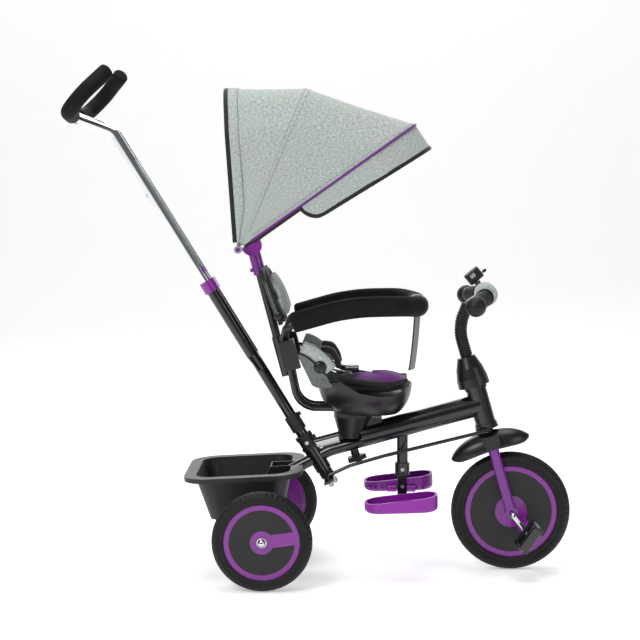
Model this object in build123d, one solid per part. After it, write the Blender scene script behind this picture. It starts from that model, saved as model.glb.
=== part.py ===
from build123d import *
import os
from math import atan2, cos, degrees, hypot, radians, sin, tan

# Children's push tricycle. Millimetres, +Z up, +X forward, +Y to the rider's left.
# The origin is on the ground under the middle of the tricycle's length.

# ---- driving dimensions --------------------------------------------------------------------
WHEELBASE = 522.0
FRONT_AXLE_X = 409.0
REAR_AXLE_X = FRONT_AXLE_X - WHEELBASE
TRACK = 410.0
FRONT_R = 127.0
REAR_R = 103.0
STEER_TILT = 16.2
PUSH_TILT = 31.6
POST_TILT = 14.8

# fits
RUN = 0.05
GAP = 0.4
SOFT_GAP = 1.0

# wheels
FRONT_TYRE_W = 36.0
REAR_TYRE_W = 33.0
TYRE_DEPTH = 29.0
REAR_TYRE_DEPTH = 25.0
RING_W = 11.0
FRONT_HUB_R = 34.0
REAR_HUB_R = 24.0
SPOKE_W = 27.0
CORE_INSET = 3.0
COVER_T = 3.0
AXLE_R = 5.0
CRANK_R = 5.5

# frame
BEAM_R = 24.0
BEAM_WALL = 2.0
BEAM_SLOPE = 15.3
BEAM_JOIN_H = 238.0
RAIL_R = 11.0
RAIL_LIFT = BEAM_R - RAIL_R - 0.6
REAR_TUBE_R = 13.0
AXLE_TUBE_R = 11.0
HEAD_R = 22.0
HEAD_LOW = 189.0
HEAD_HIGH = 281.0
CUP_T = 4.0
CUP_R = 25.0
STEM_R = 12.5
NUT_R = 8.5

# fork and handlebar
BLADE_Y = 30.0
BLADE_W = 14.0
BLADE_L = 22.0
CROWN_LOW = 141.0
CROWN_HIGH = 174.0
CROWN_L = 31.0
GUARD_CROWN_R = 178.0
GUARD_T = 2.5
GUARD_HALF_W = 30.0
BAR_TUBE_R = 10.0
GRIP_R = 16.0
BALL_R = 21.0
BAR_HALF = 152.0
PAD_R = 24.0
BELLOWS_R = 12.5

# crank and pedals
CRANK_LEN = 47.5
CRANK_ANGLE = -50.0
CRANK_ARM_Y = 50.0
PEDAL_IN_Y = 62.0
PEDAL_W = 66.0
PEDAL_L = 62.0
PEDAL_T = 27.0
PEDAL_ANGLE = 55.0

# push column and handle
COLUMN_R = 12.0
TWIN_R = 12.5
TWIN_Y = 17.0
CHROME_R = 10.5
FOOT_S = 20.0
PLATE_S = 24.0
SOCKET_LOW = 100.0
SLEEVE_LOW = 46.0
SLEEVE_R = 17.0
SOCKET_HIGH = 134.0
YOKE_LOW = 300.0
YOKE_HIGH = 338.0
TWIN_TOP = 512.0
CHROME_LOW = 492.0
KINK_S = 890.0
FOAM_R = 16.5
LINK_Y = 38.0
LINK_R = 4.0

# seat
SWIVEL_X = 71.0
SWIVEL_Z = 342.0
PEDESTAL_TOP_R = 41.0
PEDESTAL_LOW_R = 24.0
SPIGOT_R = 14.0
SHELL_HALF_W = 120.0
SHELL_LOW_Z = 337.0
SHELL_MID_Z = 368.0
SHELL_TOP_Z = 430.0
SHELL_PAN_Z = 380.0
BACK_RIM_Z = 420.0
SHELL_T = 3.0
FRAME_TUBE_R = 8.0
FRAME_TUBE_Y = 22.0
POST_R = 9.0
SOCKET_Y = 84.0
SOCKET_W = 30.0
SOCKET_L = 32.0
SOCKET_H = 62.0
LEG_R = 9.0
ARM_R = 21.5
ARM_Y = 110.0
BACK_HALF_W = 90.0
PAD_T = 19.0
HUB_SLEEVE_R = 13.0
SOCKET_LOW_Z = 434.0
CLAMP_LOW_Z = 417.0
SOCKET_FORE = 22.0

# canopy
PIVOT_X = -162.0
PIVOT_Z = 694.0
HOOP_R = 3.0
HOOP_REACH = {"rear": 325.0, "mid": 352.0, "front": 437.0}
HOOP_ANGLE = {"rear": 94.0, "mid": 67.2, "front": 35.2}
HOOP_HALF = {"rear": 146.0, "mid": 154.0, "front": 162.0}
FABRIC_T = 2.0
VISOR_DROP = 55.0
VISOR_SIDE = 285.0
PIN_R = 4.0
EYE_R = 8.0
EYE_HALF_W = 3.5
CANOPY_START = 14.0
HOOP_CORNER = 44.0
HOOP_SHOULDER = 90.0

# bin and footrests
BIN_REAR_X = -278.0
BIN_FRONT_X = -30.0
BIN_HALF_W = 142.0
BIN_TOP_Z = 222.0
BIN_FLOOR_Z = 127.0
BIN_RIM_W = 22.0
BIN_WALL = 3.0
BIN_TAPER = 52.0
LIP_H = 10.0
BIN_PITCH = 3.0
POCKET_HALF = 26.0
FOOT_X = 172.0
FOOT_LEN = 152.0
FOOT_W = 80.0
FOOT_IN_Y = 75.0
FOOT_Z = 158.0
FOOT_H = 34.0
FOOT_REAR_H = 20.0
FOOT_BASE_T = 7.0
FOOT_TILT = 2.0
FOOT_POST_X = 177.0
FOOT_POST_R = 12.0
FOOT_PIN_R = 3.0
FOOT_BARREL_R = 6.4


# ---- small helpers ---------------------------------------------------------------------------
def bar(start, end, radius):
    """A round bar between two points."""
    a = Vector(*start)
    b = Vector(*end)
    plane = Plane(origin=a, z_dir=b - a)
    return plane * Cylinder(radius, (b - a).length, align=(Align.CENTER, Align.CENTER, Align.MIN))


def ring(start, end, outer, inner):
    """A round tube between two points."""
    a = Vector(*start)
    b = Vector(*end)
    over = (b - a).normalized() * 1.0
    return bar(start, end, outer) - bar(tuple(a - over), tuple(b + over), inner)


def bent_bar(points, bend, radius):
    """A round bar along straight runs joined by arcs of one radius, or of one radius each."""
    path = FilletPolyline(*points, radius=bend)
    section = Plane(origin=path @ 0, z_dir=path % 0) * Circle(radius)
    return sweep(section, path=path)


def y_cyl(x, z, radius, y0, y1):
    """A cylinder along Y."""
    return bar((x, y0, z), (x, y1, z), radius)


def block(x0, x1, y0, y1, z0, z1):
    """A box between two corners."""
    return Pos((x0 + x1) / 2, (y0 + y1) / 2, (z0 + z1) / 2) * Box(x1 - x0, y1 - y0, z1 - z0)


def xz_slab(points, y0, y1):
    """A prism whose outline is given in XZ, from y0 to y1."""
    plane = Plane(origin=(0, y1, 0), x_dir=(1, 0, 0), z_dir=(0, -1, 0))
    face = plane * make_face(Polyline(*points, close=True))
    return extrude(face, amount=y1 - y0)


def steer(h, fore=0.0, y=0.0):
    """A point h up the steering axis from the front axle, fore ahead of it."""
    t = radians(STEER_TILT)
    return (FRONT_AXLE_X - h * sin(t) + fore * cos(t), y, FRONT_R + h * cos(t) + fore * sin(t))


COLUMN_FOOT_X = 34.0
COLUMN_FOOT_Z = 175.0


def column(s, fore=0.0, y=0.0):
    """A point s up the push column's axis from its foot, fore ahead of it."""
    t = radians(PUSH_TILT)
    return (COLUMN_FOOT_X - s * sin(t) + fore * cos(t), y, COLUMN_FOOT_Z + s * cos(t) + fore * sin(t))


def steer_plane(h):
    """The plane square to the steering axis at height h, with Y kept."""
    t = radians(STEER_TILT)
    return Plane(origin=steer(h), x_dir=(cos(t), 0, sin(t)), z_dir=(-sin(t), 0, cos(t)))


def column_plane(s):
    """The plane square to the push column at height s."""
    t = radians(PUSH_TILT)
    return Plane(origin=column(s), x_dir=(cos(t), 0, sin(t)), z_dir=(-sin(t), 0, cos(t)))


POST_REF_X = -95.0
POST_REF_Z = 513.8


def post(z, fore=0.0, y=0.0):
    """A point on the canopy post's axis at height z, fore ahead of it."""
    t = radians(POST_TILT)
    return (POST_REF_X - (z - POST_REF_Z) * tan(t) + fore * cos(t), y, z + fore * sin(t))


def beam(run, lift=0.0, y=0.0):
    """A point on the beam's axis, run back from the steering axis, lift square to the beam."""
    t = radians(BEAM_SLOPE)
    x0, _, z0 = steer(BEAM_JOIN_H)
    return (x0 - run * cos(t) - lift * sin(t), y, z0 - run * sin(t) + lift * cos(t))


# ---- wheels ----------------------------------------------------------------------------------
def tyre(x, y, z, outer, width, depth):
    """A tyre with a rounded tread and a flat seat."""
    seat = outer - depth
    half = width / 2
    section = Plane.XY * make_face(
        Polyline((seat, -half + 2), (seat + 4, -half), (outer - 12, -half), (outer - 3, -half + 6),
                 (outer, 0), (outer - 3, half - 6), (outer - 12, half), (seat + 4, half),
                 (seat, half - 2), close=True))
    turned = revolve(section, axis=Axis.Y)
    return Pos(x, y, z) * turned


def key_shape(hub_r, reach, spoke_angle, thickness):
    """A hub disc with one flat spoke, lying in XZ and centred on Y."""
    disc = Rot(90, 0, 0) * Cylinder(hub_r, thickness)
    spoke = Rot(0, -spoke_angle, 0) * Pos(reach / 2, 0, 0) * Box(reach, thickness, SPOKE_W)
    return disc + spoke


def wheel_core(x, y, z, seat_r, width, hub_r, spoke_angle, faces, bore_r):
    """A one-piece wheel: rim, web, hub and one flat spoke on each listed face (+1 or -1)."""
    half = width / 2 - CORE_INSET
    body = Rot(90, 0, 0) * Cylinder(seat_r, 2 * half)
    inner_r = seat_r - RING_W
    for face in faces:
        pocket = Rot(90, 0, 0) * Cylinder(inner_r, COVER_T)
        key = key_shape(hub_r, inner_r + 1, spoke_angle, COVER_T)
        body -= Pos(0, face * (half - COVER_T / 2), 0) * (pocket - key)
    for face in (1, -1):
        if face not in faces:
            dish = Rot(90, 0, 0) * (Cylinder(inner_r, 2 * COVER_T) - Cylinder(hub_r, 2 * COVER_T))
            body -= Pos(0, face * half, 0) * dish
    body -= Rot(90, 0, 0) * Cylinder(bore_r, 4 * half)
    return Pos(x, y, z) * body


def wheel_cover(x, y, z, seat_r, width, hub_r, spoke_angle, face):
    """The black inset that fills the face round the hub and spoke."""
    half = width / 2 - CORE_INSET
    inner_r = seat_r - RING_W
    disc = Rot(90, 0, 0) * Cylinder(inner_r - RUN, COVER_T - 0.5)
    key = key_shape(hub_r + RUN, inner_r + 1, spoke_angle, COVER_T + 1)
    return Pos(x, y + face * (half - COVER_T + (COVER_T - 0.5) / 2), z) * (disc - key)


FRONT_SEAT_R = FRONT_R - TYRE_DEPTH
REAR_SEAT_R = REAR_R - REAR_TYRE_DEPTH
FRONT_SPOKE_ANGLE = -48.0
REAR_SPOKE_ANGLE = 8.0


def rear_wheel(side):
    """The three pieces of one rear wheel; side is +1 on the left."""
    at = (REAR_AXLE_X, side * TRACK / 2, REAR_R)
    pieces = {
        "tyre": tyre(*at, REAR_R, REAR_TYRE_W, REAR_TYRE_DEPTH),
        "core": wheel_core(*at, REAR_SEAT_R, REAR_TYRE_W, REAR_HUB_R, REAR_SPOKE_ANGLE, (side,),
                           AXLE_R + RUN),
        "cover": wheel_cover(*at, REAR_SEAT_R, REAR_TYRE_W, REAR_HUB_R, REAR_SPOKE_ANGLE, side),
    }
    return pieces


def front_covers():
    """Both black insets of the front wheel."""
    at = (FRONT_AXLE_X, 0, FRONT_R)
    sizes = (FRONT_SEAT_R, FRONT_TYRE_W, FRONT_HUB_R, FRONT_SPOKE_ANGLE)
    return Compound([wheel_cover(*at, *sizes, 1), wheel_cover(*at, *sizes, -1)])


def crank_point(side, reach, y):
    """A point on the crank arm of one side, reach from the axle."""
    t = radians(CRANK_ANGLE if side < 0 else CRANK_ANGLE + 180)
    return (FRONT_AXLE_X + reach * cos(t), side * y, FRONT_R + reach * sin(t))


def crank():
    """One bent rod: the axle, both arms and both pedal spindles."""
    outer_y = PEDAL_IN_Y + PEDAL_W - 6
    points = [
        crank_point(-1, CRANK_LEN, outer_y),
        crank_point(-1, CRANK_LEN, CRANK_ARM_Y),
        crank_point(-1, 0, CRANK_ARM_Y),
        crank_point(1, 0, CRANK_ARM_Y),
        crank_point(1, CRANK_LEN, CRANK_ARM_Y),
        crank_point(1, CRANK_LEN, outer_y),
    ]
    return bent_bar(points, 8.0, CRANK_R)


def pedal(side):
    """A block pedal with two side openings, turning on its spindle."""
    x, _, z = crank_point(side, CRANK_LEN, 0)
    mid = side * (PEDAL_IN_Y + PEDAL_W / 2)
    body = Box(PEDAL_L, PEDAL_W, PEDAL_T)
    body = fillet(body.edges().filter_by(Axis.Y), 6)
    for lane in (-1, 1):
        body -= Pos(lane * (PEDAL_L / 4 + 3), 0, 0) * Box(PEDAL_L / 2 - 18, PEDAL_W - 20, PEDAL_T + 2)
    body -= Rot(90, 0, 0) * Cylinder(CRANK_R + RUN, PEDAL_W + 2)
    return Pos(x, mid, z) * Rot(0, -PEDAL_ANGLE, 0) * body


# ---- frame -----------------------------------------------------------------------------------
MAIN_RUN = 262.0
RAIL_RUN = 372.0


def head_tube():
    """The steering tube, with a collar at each end."""
    tube = bar(steer(HEAD_LOW), steer(HEAD_HIGH), HEAD_R)
    for low in (HEAD_LOW, HEAD_HIGH - 8):
        tube += bar(steer(low), steer(low + 8), HEAD_R + 2.5)
    return tube - bar(steer(HEAD_LOW - 1), steer(HEAD_HIGH + 1), HEAD_R - 3)


def bearing_cups():
    """The two steering bearings pressed into the head tube's ends."""
    cups = []
    for edge, way in ((HEAD_LOW, -1), (HEAD_HIGH, 1)):
        flange = bar(steer(edge), steer(edge + way * CUP_T), CUP_R)
        spigot = bar(steer(edge), steer(edge - way * 10), HEAD_R - 3)
        hole = bar(steer(edge - way * 11), steer(edge + way * (CUP_T + 1)), STEM_R + RUN)
        cups.append((flange + spigot) - hole)
    return Compound(cups)


def main_tube():
    """The large beam tube with the smaller seat rail that runs on from its upper half."""
    big = ring(beam(0), beam(MAIN_RUN), BEAM_R, BEAM_R - BEAM_WALL)
    plug = bar(beam(MAIN_RUN - 4), beam(MAIN_RUN), BEAM_R)
    rail = bar(beam(MAIN_RUN - 2, RAIL_LIFT), beam(RAIL_RUN, RAIL_LIFT), RAIL_R)
    tube = big + plug + rail
    tube -= bar(steer(HEAD_LOW - 40), steer(HEAD_HIGH + 40), HEAD_R)
    tube -= bar(column(0), column(SOCKET_HIGH + 20), SLEEVE_R)
    return tube - ring(steer(HEAD_LOW - 1), steer(HEAD_LOW + 9), HEAD_R + 2.5, HEAD_R - 1)


REAR_TUBE_BEND = 60.0


def rear_tube():
    """The curved lower tube from under the beam to the axle tube, with the axle tube."""
    drop = BEAM_R - REAR_TUBE_R
    start = beam(MAIN_RUN + GAP, -drop)
    first = beam(MAIN_RUN + 74, -drop - 1)
    low = (REAR_AXLE_X + 37.0, 0, 204.0)
    foot = (REAR_AXLE_X, 0, REAR_R)
    tube = bent_bar([start, first, low, foot], REAR_TUBE_BEND, REAR_TUBE_R)
    half = TRACK / 2 - REAR_TYRE_W / 2 - 3
    axle_tube = y_cyl(REAR_AXLE_X, REAR_R, AXLE_TUBE_R, -half, half)
    body = tube + axle_tube + bar(column(SLEEVE_LOW), column(SOCKET_LOW), SLEEVE_R)
    rail_space = bar(beam(MAIN_RUN - 9, RAIL_LIFT), beam(RAIL_RUN + 9, RAIL_LIFT), RAIL_R + RUN)
    body -= rail_space - bar(column(0), column(SOCKET_HIGH), SLEEVE_R)
    body -= bar(column(0), column(SOCKET_HIGH), COLUMN_R + RUN)
    return body - y_cyl(REAR_AXLE_X, REAR_R, AXLE_R, -half - 1, half + 1)


def rear_axle():
    """The rear axle rod."""
    half = TRACK / 2 + REAR_TYRE_W / 2 + 2
    return y_cyl(REAR_AXLE_X, REAR_R, AXLE_R, -half, half)


def axle_nuts():
    """A domed nut on each end of the rear axle."""
    nuts = []
    for side in (-1, 1):
        y = side * (TRACK / 2 + REAR_TYRE_W / 2 - CORE_INSET + GAP)
        cap = Pos(REAR_AXLE_X, y + side * 5, REAR_R) * Sphere(NUT_R)
        cap += y_cyl(REAR_AXLE_X, REAR_R, NUT_R + 1.5, y, y + side * 2)
        cap -= block(REAR_AXLE_X - 20, REAR_AXLE_X + 20, min(y, y - side * 20), max(y, y - side * 20),
                     REAR_R - 20, REAR_R + 20)
        nuts.append(cap - rear_axle())
    return Compound(nuts)


def column_socket():
    """The moulded collar on top of the frame's sleeve, with its clamping ears."""
    body = bar(column(SOCKET_LOW), column(SOCKET_HIGH), SLEEVE_R)
    body += bar(column(SOCKET_HIGH - 9), column(SOCKET_HIGH), SLEEVE_R + 2)
    body += bar(column(SOCKET_LOW), column(SOCKET_LOW + 6), SLEEVE_R + 2)
    body += column_plane(SOCKET_LOW + 16) * Pos(SLEEVE_R, 0, 0) * Box(10, 14, 14)
    return body - bar(column(SOCKET_LOW - 1), column(SOCKET_HIGH + 1), COLUMN_R + RUN)


def seat_pedestal():
    """The bowl-shaped seat base that sits on the beam, with the swivel spigot."""
    low_z = SWIVEL_Z - 58
    lower = Plane(origin=(SWIVEL_X - 4, 0, low_z)) * Circle(PEDESTAL_LOW_R)
    upper = Plane(origin=(SWIVEL_X, 0, SWIVEL_Z - 12)) * Circle(PEDESTAL_TOP_R)
    bowl = loft([lower, upper])
    bowl += Pos(SWIVEL_X, 0, SWIVEL_Z - 6) * Cylinder(PEDESTAL_TOP_R, 12)
    bowl += block(SWIVEL_X + 20, SWIVEL_X + 62, -14, 14, SWIVEL_Z - 40, SWIVEL_Z - 14)
    bowl += Pos(SWIVEL_X, 0, SWIVEL_Z + 8) * Cylinder(SPIGOT_R, 20)
    bowl -= bar(beam(120), beam(MAIN_RUN), BEAM_R)
    bowl -= bar(beam(MAIN_RUN - 9, RAIL_LIFT), beam(RAIL_RUN, RAIL_LIFT), RAIL_R)
    return bowl - rear_tube()


KNOB_RUN = 285.0


def seat_knob():
    """The star knob under the beam that clamps the seat base."""
    t = radians(BEAM_SLOPE)
    top = beam(KNOB_RUN, -BEAM_R - 1)
    knob = bar(top, beam(KNOB_RUN, -BEAM_R - 16), 9)
    knob += bar(beam(KNOB_RUN, -BEAM_R - 14), beam(KNOB_RUN, -BEAM_R - 24), 17)
    plane = Plane(origin=beam(KNOB_RUN, -BEAM_R - 19), x_dir=(cos(t), 0, sin(t)), z_dir=(-sin(t), 0, cos(t)))
    for lobe in range(5):
        knob += plane * Rot(0, 0, 72 * lobe) * Pos(16, 0, 0) * Cylinder(5.5, 10)
    return knob


def footrest_post():
    """The footrest post: upper tube, clamp, lower square tube and the cross bar with its two pins."""
    x = FOOT_POST_X
    top_z = beam(172)[2]
    body = bar((x, 0, 205), (x, 0, top_z), FOOT_POST_R)
    body += Pos(x, 0, 217) * Cylinder(FOOT_POST_R + 4, 26)
    body += block(x - 10, x + 10, -13, 13, FOOT_Z - 6, 206)
    bar_half = FOOT_IN_Y - 8
    body += block(x - 9, x + 9, -bar_half, bar_half, FOOT_Z - 8, FOOT_Z + 6)
    for side in (-1, 1):
        y = side * (FOOT_IN_Y - 2)
        body += bar((x - 9, y, FOOT_Z), (x + 9, y, FOOT_Z), FOOT_BARREL_R)
        root = y - side * 8
        body += block(x - 9, x + 9, min(y, root), max(y, root), FOOT_Z - 4.5, FOOT_Z + 4.5)
        body += bar((x - 34, y, FOOT_Z), (x + 34, y, FOOT_Z), FOOT_PIN_R)
    return body - bar(beam(60), beam(220), BEAM_R)


def foot_plate(side):
    """One footrest: a boat-shaped tray, deeper at the front, that folds up on its fore-and-aft pin."""
    mid_y = side * (FOOT_IN_Y + 5 + FOOT_W / 2)
    tray = extrude(RectangleRounded(FOOT_LEN, FOOT_W, 34), amount=FOOT_H)
    tray = fillet(tray.edges().group_by(Axis.Z)[0], 10)
    tray -= Pos(0, 0, FOOT_BASE_T) * extrude(RectangleRounded(FOOT_LEN - 10, FOOT_W - 10, 29), amount=FOOT_H)
    half = FOOT_LEN / 2 + 5
    over = FOOT_H + 20
    tray -= xz_slab([(-half, FOOT_REAR_H), (half, FOOT_H), (half, over), (-half, over)], -FOOT_W, FOOT_W)
    for groove in range(-3, 4):
        tray += Pos(groove * 16, 0, FOOT_BASE_T + 0.6) * Box(5, FOOT_W - 30, 1.4)
    body = Pos(FOOT_X, mid_y, FOOT_Z - 8) * Rot(0, -FOOT_TILT, 0) * tray
    pin_y = side * (FOOT_IN_Y - 2)
    x = FOOT_POST_X
    for lug in (-1, 1):
        x0 = x + lug * 21
        ear = bar((x0 - 10, pin_y, FOOT_Z), (x0 + 10, pin_y, FOOT_Z), 7)
        ear += block(x0 - 10, x0 + 10, min(pin_y, pin_y + side * 9), max(pin_y, pin_y + side * 9),
                     FOOT_Z - 5, FOOT_Z + 6)
        body += ear
    return body - bar((x - 60, pin_y, FOOT_Z), (x + 60, pin_y, FOOT_Z), FOOT_PIN_R + RUN)


def frame_bolts():
    """The bright bolts of the footrest clamp, the footrest bracket and the column's collar."""
    x = FOOT_POST_X
    bolts = []
    for side in (-1, 1):
        edge = side * (FOOT_POST_R + 4)
        bolts.append(y_cyl(x, 217, 4, edge, edge + side * 5) - Pos(x, 0, 217) * Cylinder(FOOT_POST_R + 4, 30))
        bolts.append(y_cyl(x, 180, 4, side * 13, side * 18))
        cx, _, cz = column(SOCKET_LOW + 16)
        bolt = y_cyl(cx, cz, 4, side * SLEEVE_R, side * (SLEEVE_R + 5))
        bolts.append(bolt - bar(column(SOCKET_LOW - 30), column(SOCKET_HIGH), SLEEVE_R))
    return Compound(bolts)


def storage_bin():
    """The open rear bin with a rolled rim and a front pocket for the frame tube."""
    length = BIN_FRONT_X - BIN_REAR_X
    mid_x = (BIN_FRONT_X + BIN_REAR_X) / 2
    height = BIN_TOP_Z - BIN_FLOOR_Z

    def tub(inset, floor):
        """A tapering tub, inset from the outer wall."""
        low_l = length - 2 * BIN_RIM_W - BIN_TAPER - 2 * inset
        top_l = length - 2 * BIN_RIM_W - 2 * inset
        low = Plane(origin=(2, 0, floor)) * RectangleRounded(low_l, 2 * (BIN_HALF_W - 42 - inset), 26)
        top = Plane(origin=(0, 0, height)) * RectangleRounded(top_l, 2 * (BIN_HALF_W - BIN_RIM_W - inset), 40)
        return loft([low, top])

    outer = tub(0, 0)
    rim = Pos(0, 0, height - 6) * extrude(RectangleRounded(length, 2 * BIN_HALF_W, 58), amount=6)
    lip = Pos(0, 0, height - LIP_H) * extrude(RectangleRounded(length, 2 * BIN_HALF_W, 58), amount=LIP_H - 5)
    under = extrude(RectangleRounded(length - 6, 2 * BIN_HALF_W - 6, 55), amount=LIP_H - 3)
    lip -= Pos(0, 0, height - LIP_H - 1) * under
    body = outer + rim + lip
    channel = [(length / 2 - 66, height + 1), (length / 2 + 5, height + 1), (length / 2 + 5, -5),
               (length / 2 - 112, -5)]
    wall = [(length / 2 - 66 - BIN_WALL, height), (length / 2, height), (length / 2, 0),
            (length / 2 - 112 - BIN_WALL, 0)]
    cavity = tub(BIN_WALL, BIN_WALL)
    cavity += Pos(0, 0, height - 2) * extrude(
        RectangleRounded(length - 2 * BIN_RIM_W - 2 * BIN_WALL, 2 * (BIN_HALF_W - BIN_RIM_W - BIN_WALL), 37),
        amount=6)
    cavity -= xz_slab(wall, -POCKET_HALF - BIN_WALL, POCKET_HALF + BIN_WALL)
    body -= cavity
    body -= xz_slab(channel, -POCKET_HALF, POCKET_HALF)
    placed = Pos(mid_x, 0, BIN_FLOOR_Z) * Rot(0, -BIN_PITCH, 0) * body
    return placed - column_socket() - rear_tube()


# ---- fork, handlebar -------------------------------------------------------------------------
def fork_crown():
    """The steering stem, the crown plate and the two sleeves over the blades' tops."""
    stem = bar(steer(CROWN_LOW + 20), steer(HEAD_HIGH + 44), STEM_R)
    plane = steer_plane(CROWN_HIGH - 12)
    plate = plane * Box(CROWN_L + 6, 2 * BLADE_Y + BLADE_W + 8, 20)
    body = stem + fillet(plate.edges().filter_by(Axis.Y, reverse=True).filter_by(GeomType.LINE), 2)
    for side in (-1, 1):
        sleeve = steer_plane((CROWN_LOW + CROWN_HIGH) / 2) * Pos(0, side * BLADE_Y, 0)
        body += sleeve * Box(CROWN_L, BLADE_W + 8, CROWN_HIGH - CROWN_LOW - 4)
    for side in (-1, 1):
        body -= blade(side)
    body -= Pos(FRONT_AXLE_X, 0, FRONT_R) * (Rot(90, 0, 0) * Cylinder(FRONT_R + 6, FRONT_TYRE_W + 8))
    return body


def blade(side):
    """One straight fork blade of flattened tube, with a round eye for the crank axle."""
    plane = steer_plane(0)
    length = CROWN_HIGH - 10
    body = plane * Pos(0, side * BLADE_Y, length / 2) * Box(BLADE_L, BLADE_W, length)
    body = fillet(body.edges().filter_by(GeomType.LINE).sort_by(SortBy.LENGTH)[-4:], 6)
    body += y_cyl(FRONT_AXLE_X, FRONT_R, 13, side * (BLADE_Y - BLADE_W / 2), side * (BLADE_Y + BLADE_W / 2))
    return body - y_cyl(FRONT_AXLE_X, FRONT_R, CRANK_R + RUN, side * (BLADE_Y - 20), side * (BLADE_Y + 20))


def fork_blades():
    """Both fork blades."""
    return Compound([blade(-1), blade(1)])


def mudguard():
    """A curved guard over the tyre with skirts at each side and turned-up tips."""
    outer = Rot(90, 0, 0) * Cylinder(GUARD_CROWN_R, 2 * GUARD_HALF_W)
    inner = Rot(90, 0, 0) * Cylinder(GUARD_CROWN_R - GUARD_T, 2 * GUARD_HALF_W - 2 * GUARD_T)
    open_low = Rot(90, 0, 0) * Cylinder(GUARD_CROWN_R - 34, 2 * GUARD_HALF_W + 2)
    shell = outer - inner - open_low
    wedge_low = 77.0
    wedge_high = 139.0
    reach = 2 * GUARD_CROWN_R
    points = [(0, 0)]
    for angle in (wedge_low, (wedge_low + wedge_high) / 2, wedge_high):
        points.append((reach * cos(radians(angle)), reach * sin(radians(angle))))
    shell &= xz_slab(points, -GUARD_HALF_W - 5, GUARD_HALF_W + 5)
    body = Pos(FRONT_AXLE_X, 0, FRONT_R) * shell
    body -= bar(steer(100), steer(260), STEM_R)
    pocket = steer_plane(CROWN_HIGH - 30) * Box(CROWN_L + 8, 2 * GUARD_HALF_W + 40, 66)
    body -= pocket
    crown_cap = steer_plane(CROWN_HIGH + 3.1) * Box(CROWN_L + 26, 2 * GUARD_HALF_W - 10, GUARD_T)
    crown_cap -= bar(steer(100), steer(260), STEM_R)
    return body + crown_cap


def headset_cover():
    """The flared cover over the top bearing."""
    low = HEAD_HIGH
    high = HEAD_HIGH + 64
    profile = [(34, low), (33, low + 18), (28, low + 40), (19, high), (BAR_TUBE_R + 2, high),
               (BAR_TUBE_R + 2, high - 3), (16, high - 3), (25, low + 38), (30, low + 16), (31, low)]
    section = Plane.XZ * make_face(Polyline(*profile, close=True))
    turned = revolve(section, axis=Axis.Z)
    t = radians(STEER_TILT)
    place = Plane(origin=steer(0, -1.5), x_dir=(cos(t), 0, sin(t)), z_dir=(-sin(t), 0, cos(t)))
    return place * turned


STEM_PATH = [steer(HEAD_HIGH + 45), (300.0, 0, 512.0), (312.0, 0, 567.0), (352.0, 0, 592.0)]
STEM_BEND = 34.0
BAR_CENTRE = (352.0, 0, 592.0)
BAR_END_X = 321.0
BAR_END_Z = 578.0


def bar_point(y):
    """A point on one side of the swept-back handlebar."""
    share = max(0.0, (abs(y) - 40.0) / (BAR_HALF - 40.0))
    return (BAR_CENTRE[0] + (BAR_END_X - BAR_CENTRE[0]) * share, y,
            BAR_CENTRE[2] + (BAR_END_Z - BAR_CENTRE[2]) * share)


def handlebar():
    """The bent stem tube with the swept-back bar across its top."""
    stem = bent_bar(STEM_PATH, STEM_BEND, BAR_TUBE_R)
    end = BAR_HALF - 6
    across = bent_bar([bar_point(-end), bar_point(-40), bar_point(40), bar_point(end)], 30.0, BAR_TUBE_R - 1)
    return stem + across


def handlebar_grips():
    """Two grips, each with a large safety ball on its end."""
    grips = []
    for side in (-1, 1):
        grip = bar(bar_point(side * 62), bar_point(side * BAR_HALF), GRIP_R)
        grip += bar(bar_point(side * 62), bar_point(side * 66), GRIP_R + 3)
        grip += Pos(*bar_point(side * BAR_HALF)) * Sphere(BALL_R)
        grips.append(grip - bar(bar_point(side * 40), bar_point(side * (BAR_HALF - 6)), BAR_TUBE_R - 1))
    return Compound(grips)


def handlebar_pad():
    """The round foam pad on the middle of the bar."""
    pad = y_cyl(BAR_CENTRE[0], BAR_CENTRE[2], PAD_R, -34, 34)
    pad = fillet(pad.edges().filter_by(GeomType.CIRCLE), 6)
    return pad - handlebar()


def stem_bellows():
    """The ribbed sleeve over the stem tube."""
    start, bend, top, end = STEM_PATH
    path = [start, bend, top, end]
    sleeve = bent_bar(path, STEM_BEND, BELLOWS_R)
    t = radians(STEER_TILT)
    cut_low = steer(HEAD_HIGH + 65)
    cut = Plane(origin=cut_low, x_dir=(cos(t), 0, sin(t)), z_dir=(-sin(t), 0, cos(t)))
    sleeve -= cut * Pos(0, 0, -60) * Box(90, 90, 120)
    sleeve -= Pos(BAR_CENTRE[0], 0, BAR_CENTRE[2]) * (Rot(90, 0, 0) * Cylinder(PAD_R + 12, 100))
    return sleeve - bent_bar(STEM_PATH, STEM_BEND, BAR_TUBE_R)


BELL_Y = 52.0


def bell_place():
    """The bell's own frame: on the bar, leaning back."""
    x, y, z = bar_point(BELL_Y)
    return Pos(x - 18.8, y, z + 36.4) * Rot(0, -40, 0)


def bell_body():
    """The bell box and the band that holds it to the bar."""
    box = bell_place() * Box(36, 26, 27)
    box = fillet(box.edges(), 4)
    x, y, z = bar_point(BELL_Y)
    band = bar(bar_point(BELL_Y - 7), bar_point(BELL_Y + 7), BAR_TUBE_R + 3)
    neck = bar((x, y, z), (x - 12, y, z + 24), 7)
    return box + band + neck - bar(bar_point(40), bar_point(80), BAR_TUBE_R - 1)


def bell_lever():
    """The small thumb lever on the bell's front corner."""
    lever = bell_place() * Pos(24, 0, -6) * Box(10, 12, 6)
    lever = fillet(lever.edges().filter_by(Axis.Y), 2)
    return lever


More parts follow.
